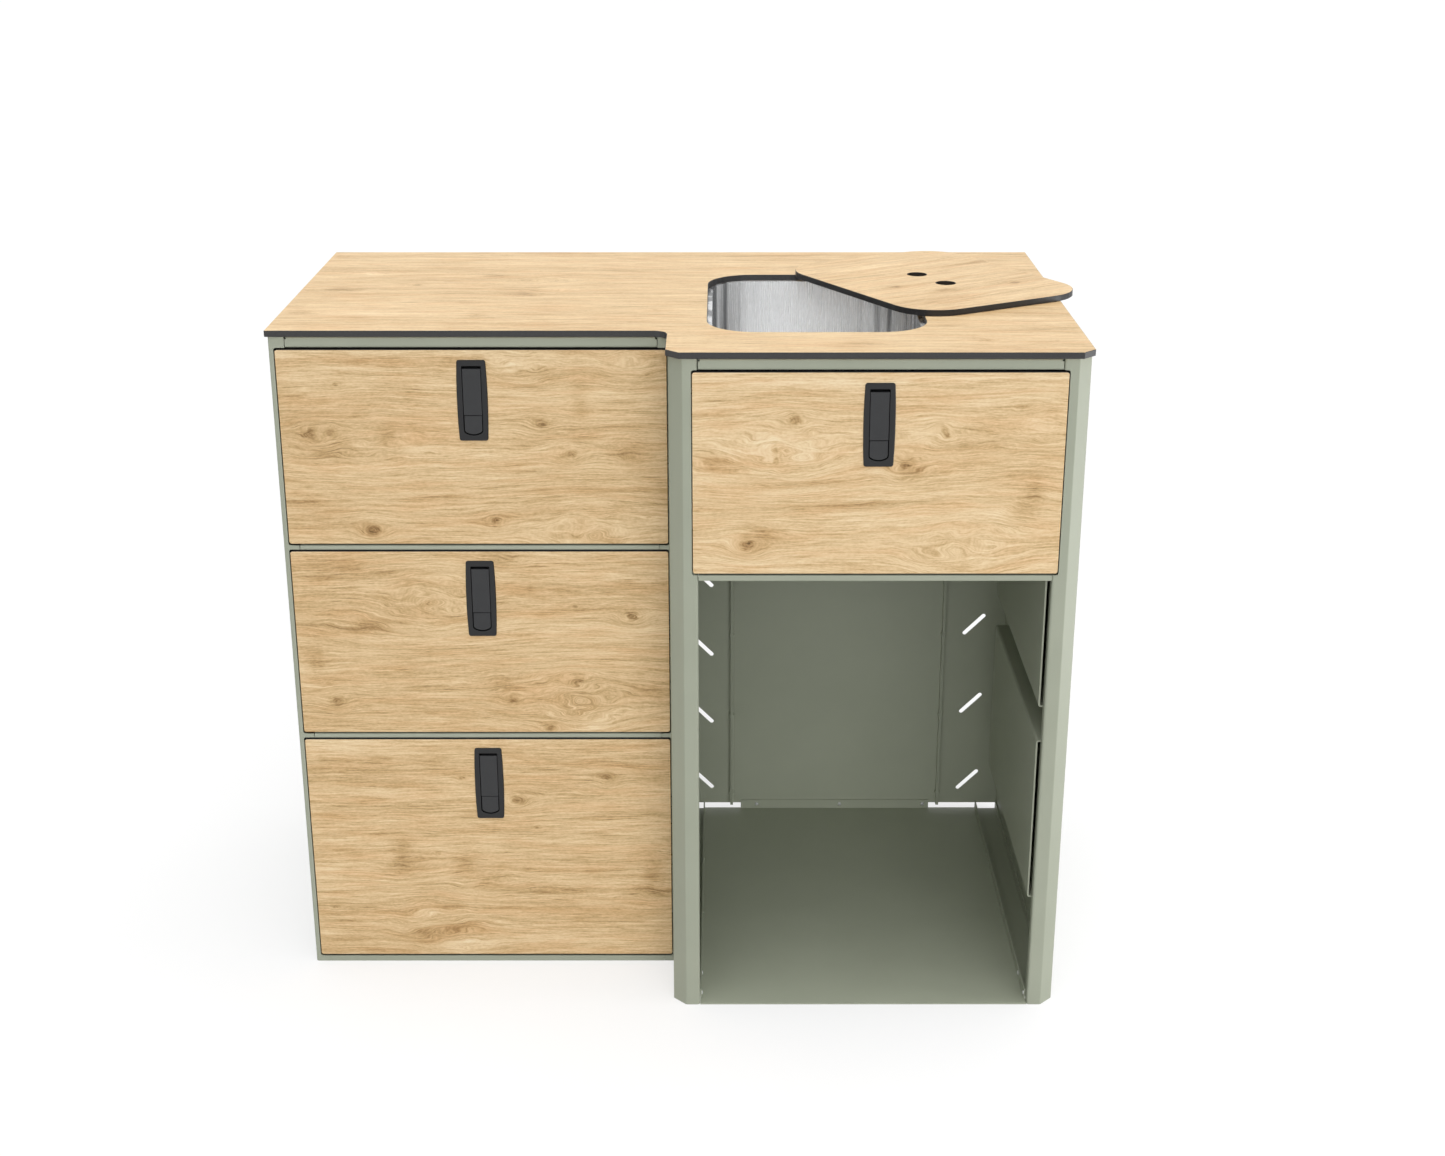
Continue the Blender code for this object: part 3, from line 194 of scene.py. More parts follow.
MARK_FIELDS = ("Bend", "Swirl", "Ragged", "Ring", "Core", "Tone")
# Each kind has its reach along and across the grain, then the fields above
MARK_KINDS = {
    "eye": ((7.5, 4.8), 0.70, 9.0, 9.0, 0.80, 0.75, -0.16),
    "knot": ((6.5, 4.0), 0.60, 9.0, 12.0, 0.45, 0.56, -0.15),
    "swirl": ((22.0, 12.0), 0.55, 16.0, 10.0, 0.50, 0.10, 0.02),
    "dot": ((3.2, 1.8), 0.40, 4.0, 3.0, 0.40, 0.60, -0.07),
    "brown": ((14.0, 6.5), 0.25, 9.0, 16.0, 0.20, 0.10, -0.17),
    "smudge": ((8.0, 12.0), 0.10, 6.0, 14.0, 0.00, 0.06, -0.14),
    "band": ((44.0, 4.0), 0.00, 5.0, 7.0, 0.00, 0.00, -0.12),
    "dash": ((16.0, 1.1), 0.00, 2.0, 1.5, 0.00, 0.20, -0.13),
    "light": ((15.0, 8.0), 0.45, 13.0, 12.0, 0.25, 0.00, 0.13),
    "flame": ((44.0, 7.0), 0.30, 9.0, 12.0, 0.00, 0.00, 0.09),
}
# Each mark has its kind, and its place along and across the grain, rounded from places seen in the photograph
MARK_SHARES = {
    "top_drawer_front": (
        ("knot", -0.75, 0.15), ("knot", -0.85, 0.15), ("brown", -0.75, -0.05), ("smudge", -0.45, 0.10),
        ("flame", -0.30, 0.05), ("knot", 0.50, -0.05), ("brown", 0.80, -0.05), ("eye", -0.55, -0.85),
        ("knot", 0.10, -0.75), ("swirl", 0.60, -0.90), ("dot", 0.90, -0.75), ("dash", -0.20, -0.50),
        ("dash", -0.90, -0.55), ("dot", -0.70, 0.65), ("band", 0.30, 0.75), ("smudge", 0.55, 0.45),
        ("dot", 0.90, 0.75), ("light", 0.80, 0.90), ("light", 0.20, 0.85), ("knot", 0.35, 0.25),
    ),
    "middle_drawer_front": (
        ("brown", -0.60, 0.20), ("band", -0.75, 0.20), ("swirl", -0.25, 0.45), ("knot", -0.80, -0.65),
        ("brown", 0.10, -0.45), ("knot", 0.15, -0.60), ("swirl", 0.50, -0.65), ("knot", 0.50, -0.50),
        ("knot", 0.35, -0.85), ("light", 0.60, -0.80), ("dot", 0.70, -0.85), ("band", 0.45, 0.60),
        ("dot", 0.50, 0.40), ("eye", 0.80, 0.30), ("band", -0.40, -0.35), ("brown", 0.10, 0.90),
        ("dot", -0.85, -0.45), ("smudge", -0.90, -0.20), ("band", -0.75, 0.75),
    ),
    "bottom_drawer_front": (
        ("eye", 0.15, 0.45), ("dash", 0.25, 0.50), ("band", 0.40, 0.45), ("knot", 0.65, 0.65),
        ("smudge", -0.50, 0.00), ("brown", -0.50, -0.15), ("dot", -0.30, -0.05), ("smudge", -0.15, -0.15),
        ("brown", 0.00, -0.30), ("dot", 0.20, -0.20), ("dot", 0.25, 0.20), ("smudge", 0.90, -0.25),
        ("brown", 0.90, -0.40), ("band", 0.45, -0.40), ("dot", -0.90, -0.55), ("brown", -0.40, -0.80),
        ("brown", -0.20, -0.75), ("light", -0.40, -0.60), ("light", -0.20, -0.90), ("dot", -0.15, 0.65),
        ("band", -0.65, 0.60),
    ),
    "sink_drawer_front": (
        ("eye", -0.70, -0.70), ("brown", -0.60, -0.65), ("swirl", -0.50, 0.25), ("dot", -0.55, 0.25),
        ("knot", -0.45, 0.45), ("knot", 0.15, 0.10), ("brown", 0.20, 0.05), ("light", 0.25, 0.35),
        ("dot", 0.35, 0.40), ("band", 0.50, 0.30), ("smudge", 0.85, -0.15), ("smudge", 0.80, -0.35),
        ("brown", -0.90, 0.15), ("dash", -0.85, 0.70), ("dash", 0.45, 0.85), ("swirl", 0.45, -0.75),
        ("light", 0.85, 0.50), ("band", -0.10, -0.30), ("band", -0.45, 0.00),
    ),
    "worktop": (
        ("brown", -0.90, 0.15), ("knot", -0.70, 0.25), ("brown", -0.50, 0.45), ("brown", -0.40, 0.05),
        ("light", -0.30, 0.15), ("dot", -0.05, -0.25), ("smudge", -0.50, -0.35), ("dash", -0.35, -0.35),
        ("brown", -0.95, -0.30), ("light", -0.85, 0.50), ("band", -0.70, 0.75), ("flame", -0.70, -0.15),
        ("swirl", -0.35, 0.35), ("dash", -0.15, 0.55), ("dash", 0.20, -0.85), ("brown", 0.45, -0.85),
        ("knot", 0.75, -0.80), ("flame", 0.70, 0.85), ("band", 0.25, 0.90),
    ),
    "sink_lid": (
        ("knot", -0.40, -0.10), ("brown", -0.15, -0.35), ("knot", 0.45, -0.40), ("band", 0.65, 0.30),
        ("flame", -0.25, 0.55), ("band", -0.45, -0.55), ("dash", 0.45, -0.60),
    ),
}
BEND_FALL = -0.06
RING_FALL = -0.18
TONE_FALL = -0.30
CORE_REACH = (0.10, 1.9)
RING_WOBBLE = 1.5
RING_RATE = 2.6
RING_DEPTH = 0.05


def mark_sockets(tree):
    """What a mark is given and what it passes on."""
    for name in ("Vector", "Drift", "Rough", "Place", "Shares"):
        tree.interface.new_socket(name, in_out="INPUT", socket_type="NodeSocketVector")
    for name in (*MARK_FIELDS, "Dark", "Light"):
        tree.interface.new_socket(name, in_out="INPUT", socket_type="NodeSocketFloat")
    tree.interface.new_socket("Vector", in_out="OUTPUT", socket_type="NodeSocketVector")
    for name in ("Dark", "Light"):
        tree.interface.new_socket(name, in_out="OUTPUT", socket_type="NodeSocketFloat")


def mark_group():
    """A node group for one mark, which bends, stirs or rings the grain round it and adds its tone."""
    tree = bpy.data.node_groups.new("oak_mark", "ShaderNodeTree")
    mark_sockets(tree)
    graph = Graph(tree)
    given = graph.add("NodeGroupInput").outputs
    away = graph.vector("SUBTRACT", given["Vector"], given["Place"])
    torn = graph.vector("ADD", away, graph.vector("SCALE", given["Rough"], scale=given["Ragged"]))
    torn_shares = graph.vector("MULTIPLY", torn, given["Shares"])
    reach = graph.vector("DOT_PRODUCT", torn_shares, torn_shares)
    even_shares = graph.vector("MULTIPLY", away, given["Shares"])
    span = graph.vector("DOT_PRODUCT", even_shares, even_shares)
    wide = graph.math("EXPONENT", graph.math("MULTIPLY", span, BEND_FALL))
    near = graph.math("EXPONENT", graph.math("MULTIPLY", reach, TONE_FALL))
    core = graph.remap(reach, *CORE_REACH, 1.0, 0.0)
    hug = graph.math("EXPONENT", graph.math("MULTIPLY", span, RING_FALL))
    hug = graph.math("MULTIPLY", hug, given["Ring"])
    radius = graph.math("DIVIDE", graph.math("SQRT", span), graph.part(given["Shares"], "Y"))
    kept = graph.math("SUBTRACT", 1.0, graph.math("MULTIPLY", wide, given["Bend"]))
    bent = graph.math("MULTIPLY", graph.part(away, "Y"), kept)
    ringed = graph.math("MULTIPLY_ADD", hug, graph.math("SUBTRACT", radius, bent), bent)
    local = graph.join(graph.part(away, "X"), ringed, graph.part(away, "Z"))
    swirl = graph.vector("SCALE", given["Drift"], scale=graph.math("MULTIPLY", wide, given["Swirl"]))
    moved = graph.vector("ADD", graph.vector("ADD", given["Place"], local), swirl)
    wobbly = graph.math("MULTIPLY_ADD", graph.part(given["Rough"], "X"), RING_WOBBLE, radius)
    phase = graph.math("MULTIPLY", wobbly, RING_RATE)
    rings = graph.math("MULTIPLY", graph.math("SINE", phase), graph.math("MULTIPLY", hug, RING_DEPTH))
    toned = graph.math("MULTIPLY_ADD", near, given["Tone"], given["Light"])
    result = graph.add("NodeGroupOutput").inputs
    graph.fill(result["Vector"], moved)
    graph.fill(result["Dark"], graph.math("MULTIPLY_ADD", core, given["Core"], given["Dark"]))
    graph.fill(result["Light"], graph.math("ADD", toned, rings))
    return tree


MARK_TREE = mark_group()


def even_stir(graph, name, place, seed):
    """A noise with three parts, each about as often below nought as above it."""
    stir = graph.named_noise(name, place, seed, "Color")
    return graph.vector("SUBTRACT", stir, (0.5, 0.5, 0.5))


def add_marks(graph, place, marks, half, seed):
    """A board's marks in a row of groups, from which come the bent place, the dark cores and the tone."""
    drift = even_stir(graph, "oak_drift", place, seed)
    rough = even_stir(graph, "oak_rough", place, seed)
    dark, light = 0.0, 0.0
    for kind, along_share, across_share in marks:
        size, *traits = MARK_KINDS[kind]
        values = dict(zip(MARK_FIELDS, traits))
        values.update({"Vector": place, "Drift": drift, "Rough": rough})
        values.update({"Place": (along_share * half[0], across_share * half[1], 0.0)})
        values.update({"Shares": (1 / size[0], 1 / size[1], 0.0), "Dark": dark, "Light": light})
        node = graph.add("ShaderNodeGroup", node_tree=MARK_TREE)
        for name, value in values.items():
            graph.fill(node.inputs[name], value)
        place, dark, light = (node.outputs[name] for name in ("Vector", "Dark", "Light"))
    return place, dark, light


# The oak decor

OAK_STOPS = (
    (0.00, linear(110, 84, 50)),
    (0.22, linear(164, 130, 84)),
    (0.42, linear(202, 168, 119)),
    (0.60, linear(224, 193, 146)),
    (0.78, linear(239, 211, 167)),
    (1.00, linear(249, 228, 191)),
)
# Each layer of grain has its waves, detail, roughness and weight
OAK_LAYERS = (
    ((620.0, 52.0, 300.0), 2.0, 0.50, 0.36),
    ((260.0, 14.0, 200.0), 3.0, 0.60, 0.34),
    ((110.0, 5.5, 100.0), 4.0, 0.65, 0.36),
    ((60.0, 2.8, 80.0), 3.0, 0.65, 0.46),
    ((22.0, 2.0, 50.0), 3.0, 0.70, 0.50),
    ((40.0, 1.2, 50.0), 2.0, 0.60, 0.50),
    ((5.0, 1.6, 20.0), 2.0, 0.60, 0.34),
)
LAYER_SEED_STEP = 3.1
PATCH_LAYER = 3
FIBRE_LAYER = 4
OAK_BASE_SHARE = 0.622
WAVE_LIFT = 16.0
RIPPLE_LIFT = 1.4
PORE_RANGE = (0.58, 0.70)
PORE_DEPTH = 0.14
LINE_RANGE = (0.57, 0.72)
LINE_DEPTH = 0.12
PATCH_GAIN = 1.4
PATCH_LEAST = 0.3
WORN_RANGE = (0.35, 0.60)
WORN_LEAST = 0.35
CORE_DEPTH = -0.34
RED_RANGE = (0.45, 0.75)
RED_MOST = 0.30
RED_TINT = linear(236, 196, 150)
OAK_ROUGHNESS = (0.40, 0.52)
OAK_SPECULAR = 0.35
PORE_DIP = -3.0
OAK_RELIEF = 0.00004
OAK_RELIEF_SHARE = 0.6
PER_METRE_MM = 1000.0


def board_place(graph, place, centre, turn):
    """The place on a board in millimetres from its centre: along the grain, across it and through it."""
    away = graph.vector("SUBTRACT", place, centre)
    values = {"Vector": away, "Rotation": turn, "Scale": (PER_METRE_MM,) * 3}
    mapping = graph.add("ShaderNodeMapping", values, vector_type="POINT")
    return mapping.outputs["Vector"]


def wavy_shift(graph, flat, seed):
    """The slow wander of the grain across the board."""
    wave = graph.named_noise("oak_wave", flat, seed)
    ripple = graph.named_noise("oak_ripple", flat, seed)
    lift = graph.math("MULTIPLY_ADD", wave, WAVE_LIFT, graph.math("MULTIPLY", ripple, RIPPLE_LIFT))
    return graph.join(0.0, lift)


def grain_layers(graph, grain, seed):
    """The sum of the layers of grain, and the layers themselves."""
    change = 0.0
    layers = []
    for count, (waves, detail, roughness, weight) in enumerate(OAK_LAYERS):
        layer = graph.noise(grain, waves, seed + LAYER_SEED_STEP * count, detail, roughness)
        change = graph.math("MULTIPLY_ADD", graph.math("SUBTRACT", layer, 0.5), weight, change)
        layers.append(layer)
    return change, layers


def oak_material(name, centre, half, turn, seed, painted_light_share, contrast):
    """The oak decor of one board: layered grain, pores, marks, and the pressed texture of the laminate, its
    tone raised by any share of painted light.
    """
    material, graph, shader, place = new_material(f"oak_{name}")
    flat = board_place(graph, place, centre, turn)
    shift = wavy_shift(graph, flat, seed)
    grain, dark, light = add_marks(graph, flat, MARK_SHARES[name], half, seed)
    grain = graph.vector("ADD", grain, shift)
    change, layers = grain_layers(graph, grain, seed)
    pores = graph.remap(graph.named_noise("oak_pores", grain, seed), *PORE_RANGE, 0.0, PORE_DEPTH)
    lines = graph.remap(graph.named_noise("oak_lines", grain, seed), *LINE_RANGE, 0.0, LINE_DEPTH)
    change = graph.math("SUBTRACT", graph.math("SUBTRACT", change, lines), pores)
    patchy = graph.math("MULTIPLY_ADD", layers[PATCH_LAYER], PATCH_GAIN, PATCH_LEAST)
    change = graph.math("MULTIPLY_ADD", light, patchy, change)
    broken = graph.remap(graph.named_noise("oak_worn", flat, seed), *WORN_RANGE, WORN_LEAST, 1.0)
    cores = graph.math("MULTIPLY", graph.math("MINIMUM", dark, 1.0), broken)
    change = graph.math("MULTIPLY_ADD", cores, CORE_DEPTH, change)
    tone = graph.math("MULTIPLY_ADD", change, contrast, OAK_BASE_SHARE + painted_light_share)
    red_share = graph.remap(graph.named_noise("oak_red", grain, seed), *RED_RANGE, 0.0, RED_MOST)
    colour = graph.mix(red_share, graph.ramp(tone, OAK_STOPS), RED_TINT, "MULTIPLY")
    roughness = graph.remap(layers[PATCH_LAYER], *MIDDLE_RANGE, *OAK_ROUGHNESS)
    fibre = graph.math("MULTIPLY_ADD", pores, PORE_DIP, layers[FIBRE_LAYER])
    dress_shader(graph, shader, colour, roughness, graph.bump(fibre, OAK_RELIEF, OAK_RELIEF_SHARE))
    shader.inputs["Specular IOR Level"].default_value = OAK_SPECULAR
    return material


# The other finishes

CORE_ROUGHNESS = (0.36, 0.52)
CORE_RELIEF = 0.00006
COAT_DARK = linear(160, 165, 147)
COAT_PALE = linear(169, 174, 156)
COAT_FINE_SHARE = 0.25
COAT_FINE_HEIGHT = 0.3
COAT_ROUGHNESS = (0.40, 0.50)
COAT_RELIEF = 0.00005
# The steel's near-white base, shaded half metallic, is a painted bright reflection on the bowl's walls
STEEL_BRUSHED_SHEEN_DARK = linear(251, 252, 253)
STEEL_BRUSHED_SHEEN_PALE = linear(254, 255, 255)
# A painted dark reflection, laid in uneven bands over the bowl's two ends
STEEL_PAINTED_REFLECTION_DARK = linear(84, 86, 89)
STEEL_PAINTED_REFLECTION_SHARE = 0.90
STEEL_PAINTED_REFLECTION_REACH = 0.085
STEEL_PAINTED_BAND_RANGE = (0.40, 0.55)
STEEL_PAINTED_BAND_LEAST = 0.30
STEEL_ROUGHNESS = (0.20, 0.30)
STEEL_METALLIC = 0.5
STEEL_ANISOTROPY = 0.5
STEEL_BROAD_HEIGHT = 4.0
STEEL_RELIEF = 0.00005
STEEL_RELIEF_SHARE = 0.4
PLASTIC_GRAIN_SHARE = 0.4
PLASTIC_ROUGHNESS = (0.40, 0.50)
PLASTIC_RELIEF = 0.00003
ZINC_CELL = (0.006, 0.006, 0.006)
ZINC_CELL_SHARE = 0.3
ZINC_DARK = linear(226, 227, 229)
ZINC_PALE = linear(244, 245, 246)
ZINC_ROUGHNESS = (0.24, 0.38)
ZINC_METALLIC = 0.8
ZINC_RELIEF = 0.00004
ZINC_RELIEF_SHARE = 0.4
RELIEF_SHARE = 0.5


def two_tones(graph, tone, dark, pale, span):
    """A ramp from the dark to the pale colour over this range of the tone."""
    return graph.ramp(tone, ((span[0], dark), (span[1], pale)))


def core_material(name, dark, pale):
    """The dark core of a compact board, with the faint lines of its pressed sheets."""
    material, graph, shader, place = new_material(name)
    sheets = graph.named_noise("core_sheets", place)
    specks = graph.named_noise("core_specks", place)
    tone = graph.blend(specks, sheets, 0.5)
    colour = two_tones(graph, tone, dark, pale, MIDDLE_RANGE)
    roughness = graph.remap(specks, *MIDDLE_RANGE, *CORE_ROUGHNESS)
    dress_shader(graph, shader, colour, roughness, graph.bump(tone, CORE_RELIEF, RELIEF_SHARE))
    return material


def coat_material():
    """A satin powder coat: the fine orange peel of the sprayed film over sheet steel."""
    material, graph, shader, place = new_material("sage_powder_coat")
    peel = graph.named_noise("coat_peel", place)
    fine = graph.named_noise("coat_fine", place)
    cloud = graph.named_noise("coat_cloud", place)
    tone = graph.blend(fine, cloud, COAT_FINE_SHARE)
    colour = two_tones(graph, tone, COAT_DARK, COAT_PALE, WIDE_RANGE)
    roughness = graph.remap(cloud, *MIDDLE_RANGE, *COAT_ROUGHNESS)
    height = graph.math("MULTIPLY_ADD", fine, COAT_FINE_HEIGHT, peel)
    dress_shader(graph, shader, colour, roughness, graph.bump(height, COAT_RELIEF, RELIEF_SHARE))
    return material


def bowl_painted_reflection_bands(graph, place):
    """How much darker the bowl's two ends are, in uneven bands of painted dark reflection."""
    low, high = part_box("sink_bowl")
    half = (high.x - low.x) / 2
    aside = graph.math("ABSOLUTE", graph.math("SUBTRACT", graph.part(place, "X"), (low.x + high.x) / 2))
    corner = graph.remap(aside, half - STEEL_PAINTED_REFLECTION_REACH, half - STEEL_PAINTED_REFLECTION_REACH / 3, 0.0, 1.0)
    bands = graph.named_noise("steel_painted_bands", place)
    uneven = graph.remap(bands, *STEEL_PAINTED_BAND_RANGE, 1.0, STEEL_PAINTED_BAND_LEAST)
    return graph.math("MULTIPLY", graph.math("MULTIPLY", corner, uneven), STEEL_PAINTED_REFLECTION_SHARE)


def steel_material():
    """Brushed stainless steel, its brush marks running down the bowl's walls and darker at its two ends in
    painted dark reflections; its near-white, half-metallic base paints in a bright reflection.
    """
    material, graph, shader, place = new_material("brushed_stainless")
    fine = graph.named_noise("steel_fine", place)
    broad = graph.named_noise("steel_broad", place)
    colour = two_tones(graph, graph.blend(fine, broad, 0.5), STEEL_BRUSHED_SHEEN_DARK, STEEL_BRUSHED_SHEEN_PALE, MIDDLE_RANGE)
    # Painted dark reflections darken the bowl's two ends
    colour = graph.mix(bowl_painted_reflection_bands(graph, place), colour, STEEL_PAINTED_REFLECTION_DARK)
    roughness = graph.remap(fine, *MIDDLE_RANGE, *STEEL_ROUGHNESS)
    height = graph.math("MULTIPLY_ADD", broad, STEEL_BROAD_HEIGHT, fine)
    dress_shader(graph, shader, colour, roughness, graph.bump(height, STEEL_RELIEF, STEEL_RELIEF_SHARE))
    shader.inputs["Metallic"].default_value = STEEL_METALLIC
    shader.inputs["Anisotropic"].default_value = STEEL_ANISOTROPY
    return material


def plastic_material(name, dark, pale):
    """Black moulded plastic with a fine spark-eroded texture."""
    material, graph, shader, place = new_material(name)
    grain = graph.named_noise("plastic_grain", place)
    cloud = graph.named_noise("plastic_cloud", place)
    tone = graph.blend(grain, cloud, PLASTIC_GRAIN_SHARE)
    colour = two_tones(graph, tone, dark, pale, MIDDLE_RANGE)
    roughness = graph.remap(cloud, *MIDDLE_RANGE, *PLASTIC_ROUGHNESS)
    dress_shader(graph, shader, colour, roughness, graph.bump(grain, PLASTIC_RELIEF, RELIEF_SHARE))
    return material


def zinc_material():
    """Bright zinc plating, with its faint cloudy spangle."""
    material, graph, shader, place = new_material("zinc_plate")
    values = {"Vector": graph.stretch(place, ZINC_CELL), "Scale": 1.0}
    cells = graph.add("ShaderNodeTexVoronoi", values).outputs["Color"]
    spangle = graph.add("ShaderNodeRGBToBW", {"Color": cells}).outputs[0]
    cloud = graph.named_noise("zinc_cloud", place)
    tone = graph.blend(spangle, cloud, ZINC_CELL_SHARE)
    colour = two_tones(graph, tone, ZINC_DARK, ZINC_PALE, WIDE_RANGE)
    roughness = graph.remap(tone, *WIDE_RANGE, *ZINC_ROUGHNESS)
    dress_shader(graph, shader, colour, roughness, graph.bump(cloud, ZINC_RELIEF, ZINC_RELIEF_SHARE))
    shader.inputs["Metallic"].default_value = ZINC_METALLIC
    return material


FINISHES = {
    "sage_powder_coat": coat_material(),
    "brushed_stainless": steel_material(),
    # The frames' black plastic is darker than the levers' copy, as painted shade
    "black_plastic": plastic_material("black_plastic", linear(11, 12, 14), linear(19, 20, 22)),
    "zinc_plate": zinc_material(),
}
CORE = core_material("laminate_core", linear(38, 38, 39), linear(60, 60, 60))
# A much darker copy of the same core for the lid's edges: painted shade
LID_CORE_PAINTED_SHADE = core_material("lid_core_painted_shade", linear(9, 9, 10), linear(20, 20, 20))
# A paler copy of the black plastic for the levers and buttons: lit and shaded copies of one plastic, as
# painted light and shade
LIT_LEVER_PLASTIC = plastic_material("black_plastic_lit_lever", linear(36, 37, 39), linear(45, 46, 48))


# What each board and part wears

ALONG_DEPTH = 1
ALONG_HEIGHT = 2
UPWARD_SHARE = 0.3
FRONT_FACING_SHARE = 0.6
TOP_FACING_SHARE = 0.9
FRONTS_CONTRAST = 1.15
TOPS_CONTRAST = 1.05
# The sink drawer's front is lightened by this share: painted light, for the stronger light that falls on it
SINK_FRONT_PAINTED_LIGHT_SHARE = 0.08
FRONT_TURN = (math.radians(-90.0), 0.0, 0.0)
TOP_TURN = (0.0, 0.0, 0.0)
LID_TURN = (0.0, 0.0, math.radians(-30.2))
FIRST_FRONT_SEED = 11.0
FRONT_SEED_STEP = 17.0
TOP_SEED = 93.0
LID_SEED = 131.0


def dress_board(name, axis, turn, seed, least_share, painted_light_share=0.0, contrast=FRONTS_CONTRAST):
    """Faces that look along the axis by more than this share take the decor, and the rest show the core."""
    low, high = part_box(name)
    size = (high - low) * PER_METRE_MM / 2
    half = (size.x, size.z if axis == ALONG_DEPTH else size.y)
    mesh = nodes[name].data
    mesh.materials.clear()
    mesh.materials.append(oak_material(name, (low + high) / 2, half, turn, seed, painted_light_share, contrast))
    # The lid's edges show the darker copy of the core, as painted shade
    mesh.materials.append(LID_CORE_PAINTED_SHADE if name == "sink_lid" else CORE)
    for polygon in mesh.polygons:
        cut_through = axis == ALONG_DEPTH and polygon.normal.z > UPWARD_SHARE
        decor = abs(polygon.normal[axis]) > least_share and not cut_through
        polygon.material_index = 0 if decor else 1


def dress_fronts():
    """The four drawer fronts, each with its own stretch of the decor, the sink drawer's lightened by painted
    light.
    """
    for count, drawer in enumerate(DRAWERS):
        seed = FIRST_FRONT_SEED + FRONT_SEED_STEP * count
        painted_light_share = SINK_FRONT_PAINTED_LIGHT_SHARE if drawer == "sink" else 0.0
        name = f"{drawer}_drawer_front"
        dress_board(name, ALONG_DEPTH, FRONT_TURN, seed, FRONT_FACING_SHARE, painted_light_share)


def dress_parts():
    """The metal and plastic pieces; the levers and buttons that a hand moves take a paler copy of the black
    plastic and the frames the darker one, lit and shaded copies as painted light and shade.
    """
    for name, piece in nodes.items():
        if slots[name] not in FINISHES:
            continue
        moved_by_hand = name.endswith(("_lever", "_button"))
        piece.data.materials.clear()
        piece.data.materials.append(LIT_LEVER_PLASTIC if moved_by_hand else FINISHES[slots[name]])


dress_parts()
dress_fronts()
dress_board("worktop", ALONG_HEIGHT, TOP_TURN, TOP_SEED, TOP_FACING_SHARE, contrast=TOPS_CONTRAST)
dress_board("sink_lid", ALONG_HEIGHT, LID_TURN, LID_SEED, TOP_FACING_SHARE, contrast=TOPS_CONTRAST)


# Rivets, bolts and the filler between lips

HEAD_SIDES = 16
SMOOTH_BELOW = 5
RIVET_RADIUS = 0.0034
RIVET_HEIGHT = 0.0020
BOLT_RADIUS = 0.0031
BOLT_HEIGHT = 0.0019
HEAD_RING_SHARES = ((1.0, 0.0), (1.0, 0.35), (0.86, 0.72), (0.55, 0.94))
LEFTWARD = (-1.0, 0.0, 0.0)
RIGHTWARD = (1.0, 0.0, 0.0)
FORWARD = (0.0, -1.0, 0.0)
TRAY_SHEET = 0.0015
BOLT_RISE = 0.009
REAR_BOLT_SPACING = 0.134
SIDE_BOLTS_BACK = (0.230, 0.392, 0.560)
FRONT_BOLTS_BACK = (0.016, 0.066)
RIVETS = 7
RIVET_FIRST_RISE = 0.032
RIVET_SPACING = 0.1365
PANEL_SHEET = 0.002
LIP_DEPTH = 0.011
LIP_SEAM = 0.0003
SEAM_END = 0.0008
SEAM_STEPS = 5


def add_head(mesh, place, direction, radius, height):
    """One domed head on a face, its axis along the face's direction."""
    turn = direction.to_track_quat("Z", "Y").to_matrix().to_4x4()
    rings = []
    for width, rise in HEAD_RING_SHARES:
        ring = []
        for step in range(HEAD_SIDES):
            angle = math.tau * step / HEAD_SIDES
            reach = radius * width
            point = Vector((reach * math.cos(angle), reach * math.sin(angle), height * rise))
            ring.append(mesh.verts.new(place + (turn @ point)))
        rings.append(ring)
    crown = mesh.verts.new(place + turn @ Vector((0.0, 0.0, height)))
    for below, above in zip(rings, rings[1:]):
        for step in range(HEAD_SIDES):
            after = (step + 1) % HEAD_SIDES
            mesh.faces.new((below[step], below[after], above[after], above[step]))
    for step in range(HEAD_SIDES):
        mesh.faces.new((rings[-1][step], rings[-1][(step + 1) % HEAD_SIDES], crown))
    mesh.faces.new(list(reversed(rings[0])))


def add_piece(name, mesh, slot):
    """A finished mesh as one piece that stays with the pod."""
    bmesh.ops.recalc_face_normals(mesh, faces=mesh.faces[:])
    data = bpy.data.meshes.new(name)
    mesh.to_mesh(data)
    mesh.free()
    for polygon in data.polygons:
        polygon.use_smooth = len(polygon.vertices) < SMOOTH_BELOW
    data.materials.append(FINISHES[slot])
    piece = bpy.data.objects.new(name, data)
    bpy.context.scene.collection.objects.link(piece)
    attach(piece, "pod_frame")


def add_heads(name, heads, radius, height, slot):
    """A group of like heads, each a place and the way it faces, as one piece that stays with the pod."""
    mesh = bmesh.new()
    for place, direction in heads:
        add_head(mesh, Vector(place), Vector(direction), radius, height)
    add_piece(name, mesh, slot)


def tray_bolts():
    """The bolts that hold the bay's tray: bright ones at its rear and front, painted ones along its sides."""
    low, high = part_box("bay_floor_tray")
    middle = (low.x + high.x) / 2
    rear = high.y - TRAY_SHEET
    front = low.y
    bright = [((middle + REAR_BOLT_SPACING * step, rear, BOLT_RISE), FORWARD) for step in (-1, 0, 1)]
    painted = []
    for wall, way in ((low.x + TRAY_SHEET, RIGHTWARD), (high.x - TRAY_SHEET, LEFTWARD)):
        bright += [((wall, front + back, BOLT_RISE), way) for back in FRONT_BOLTS_BACK]
        painted += [((wall, front + back, BOLT_RISE), way) for back in SIDE_BOLTS_BACK]
    add_heads("tray_bolts", bright, BOLT_RADIUS, BOLT_HEIGHT, "zinc_plate")
    add_heads("tray_side_bolts", painted, BOLT_RADIUS, BOLT_HEIGHT, "sage_powder_coat")


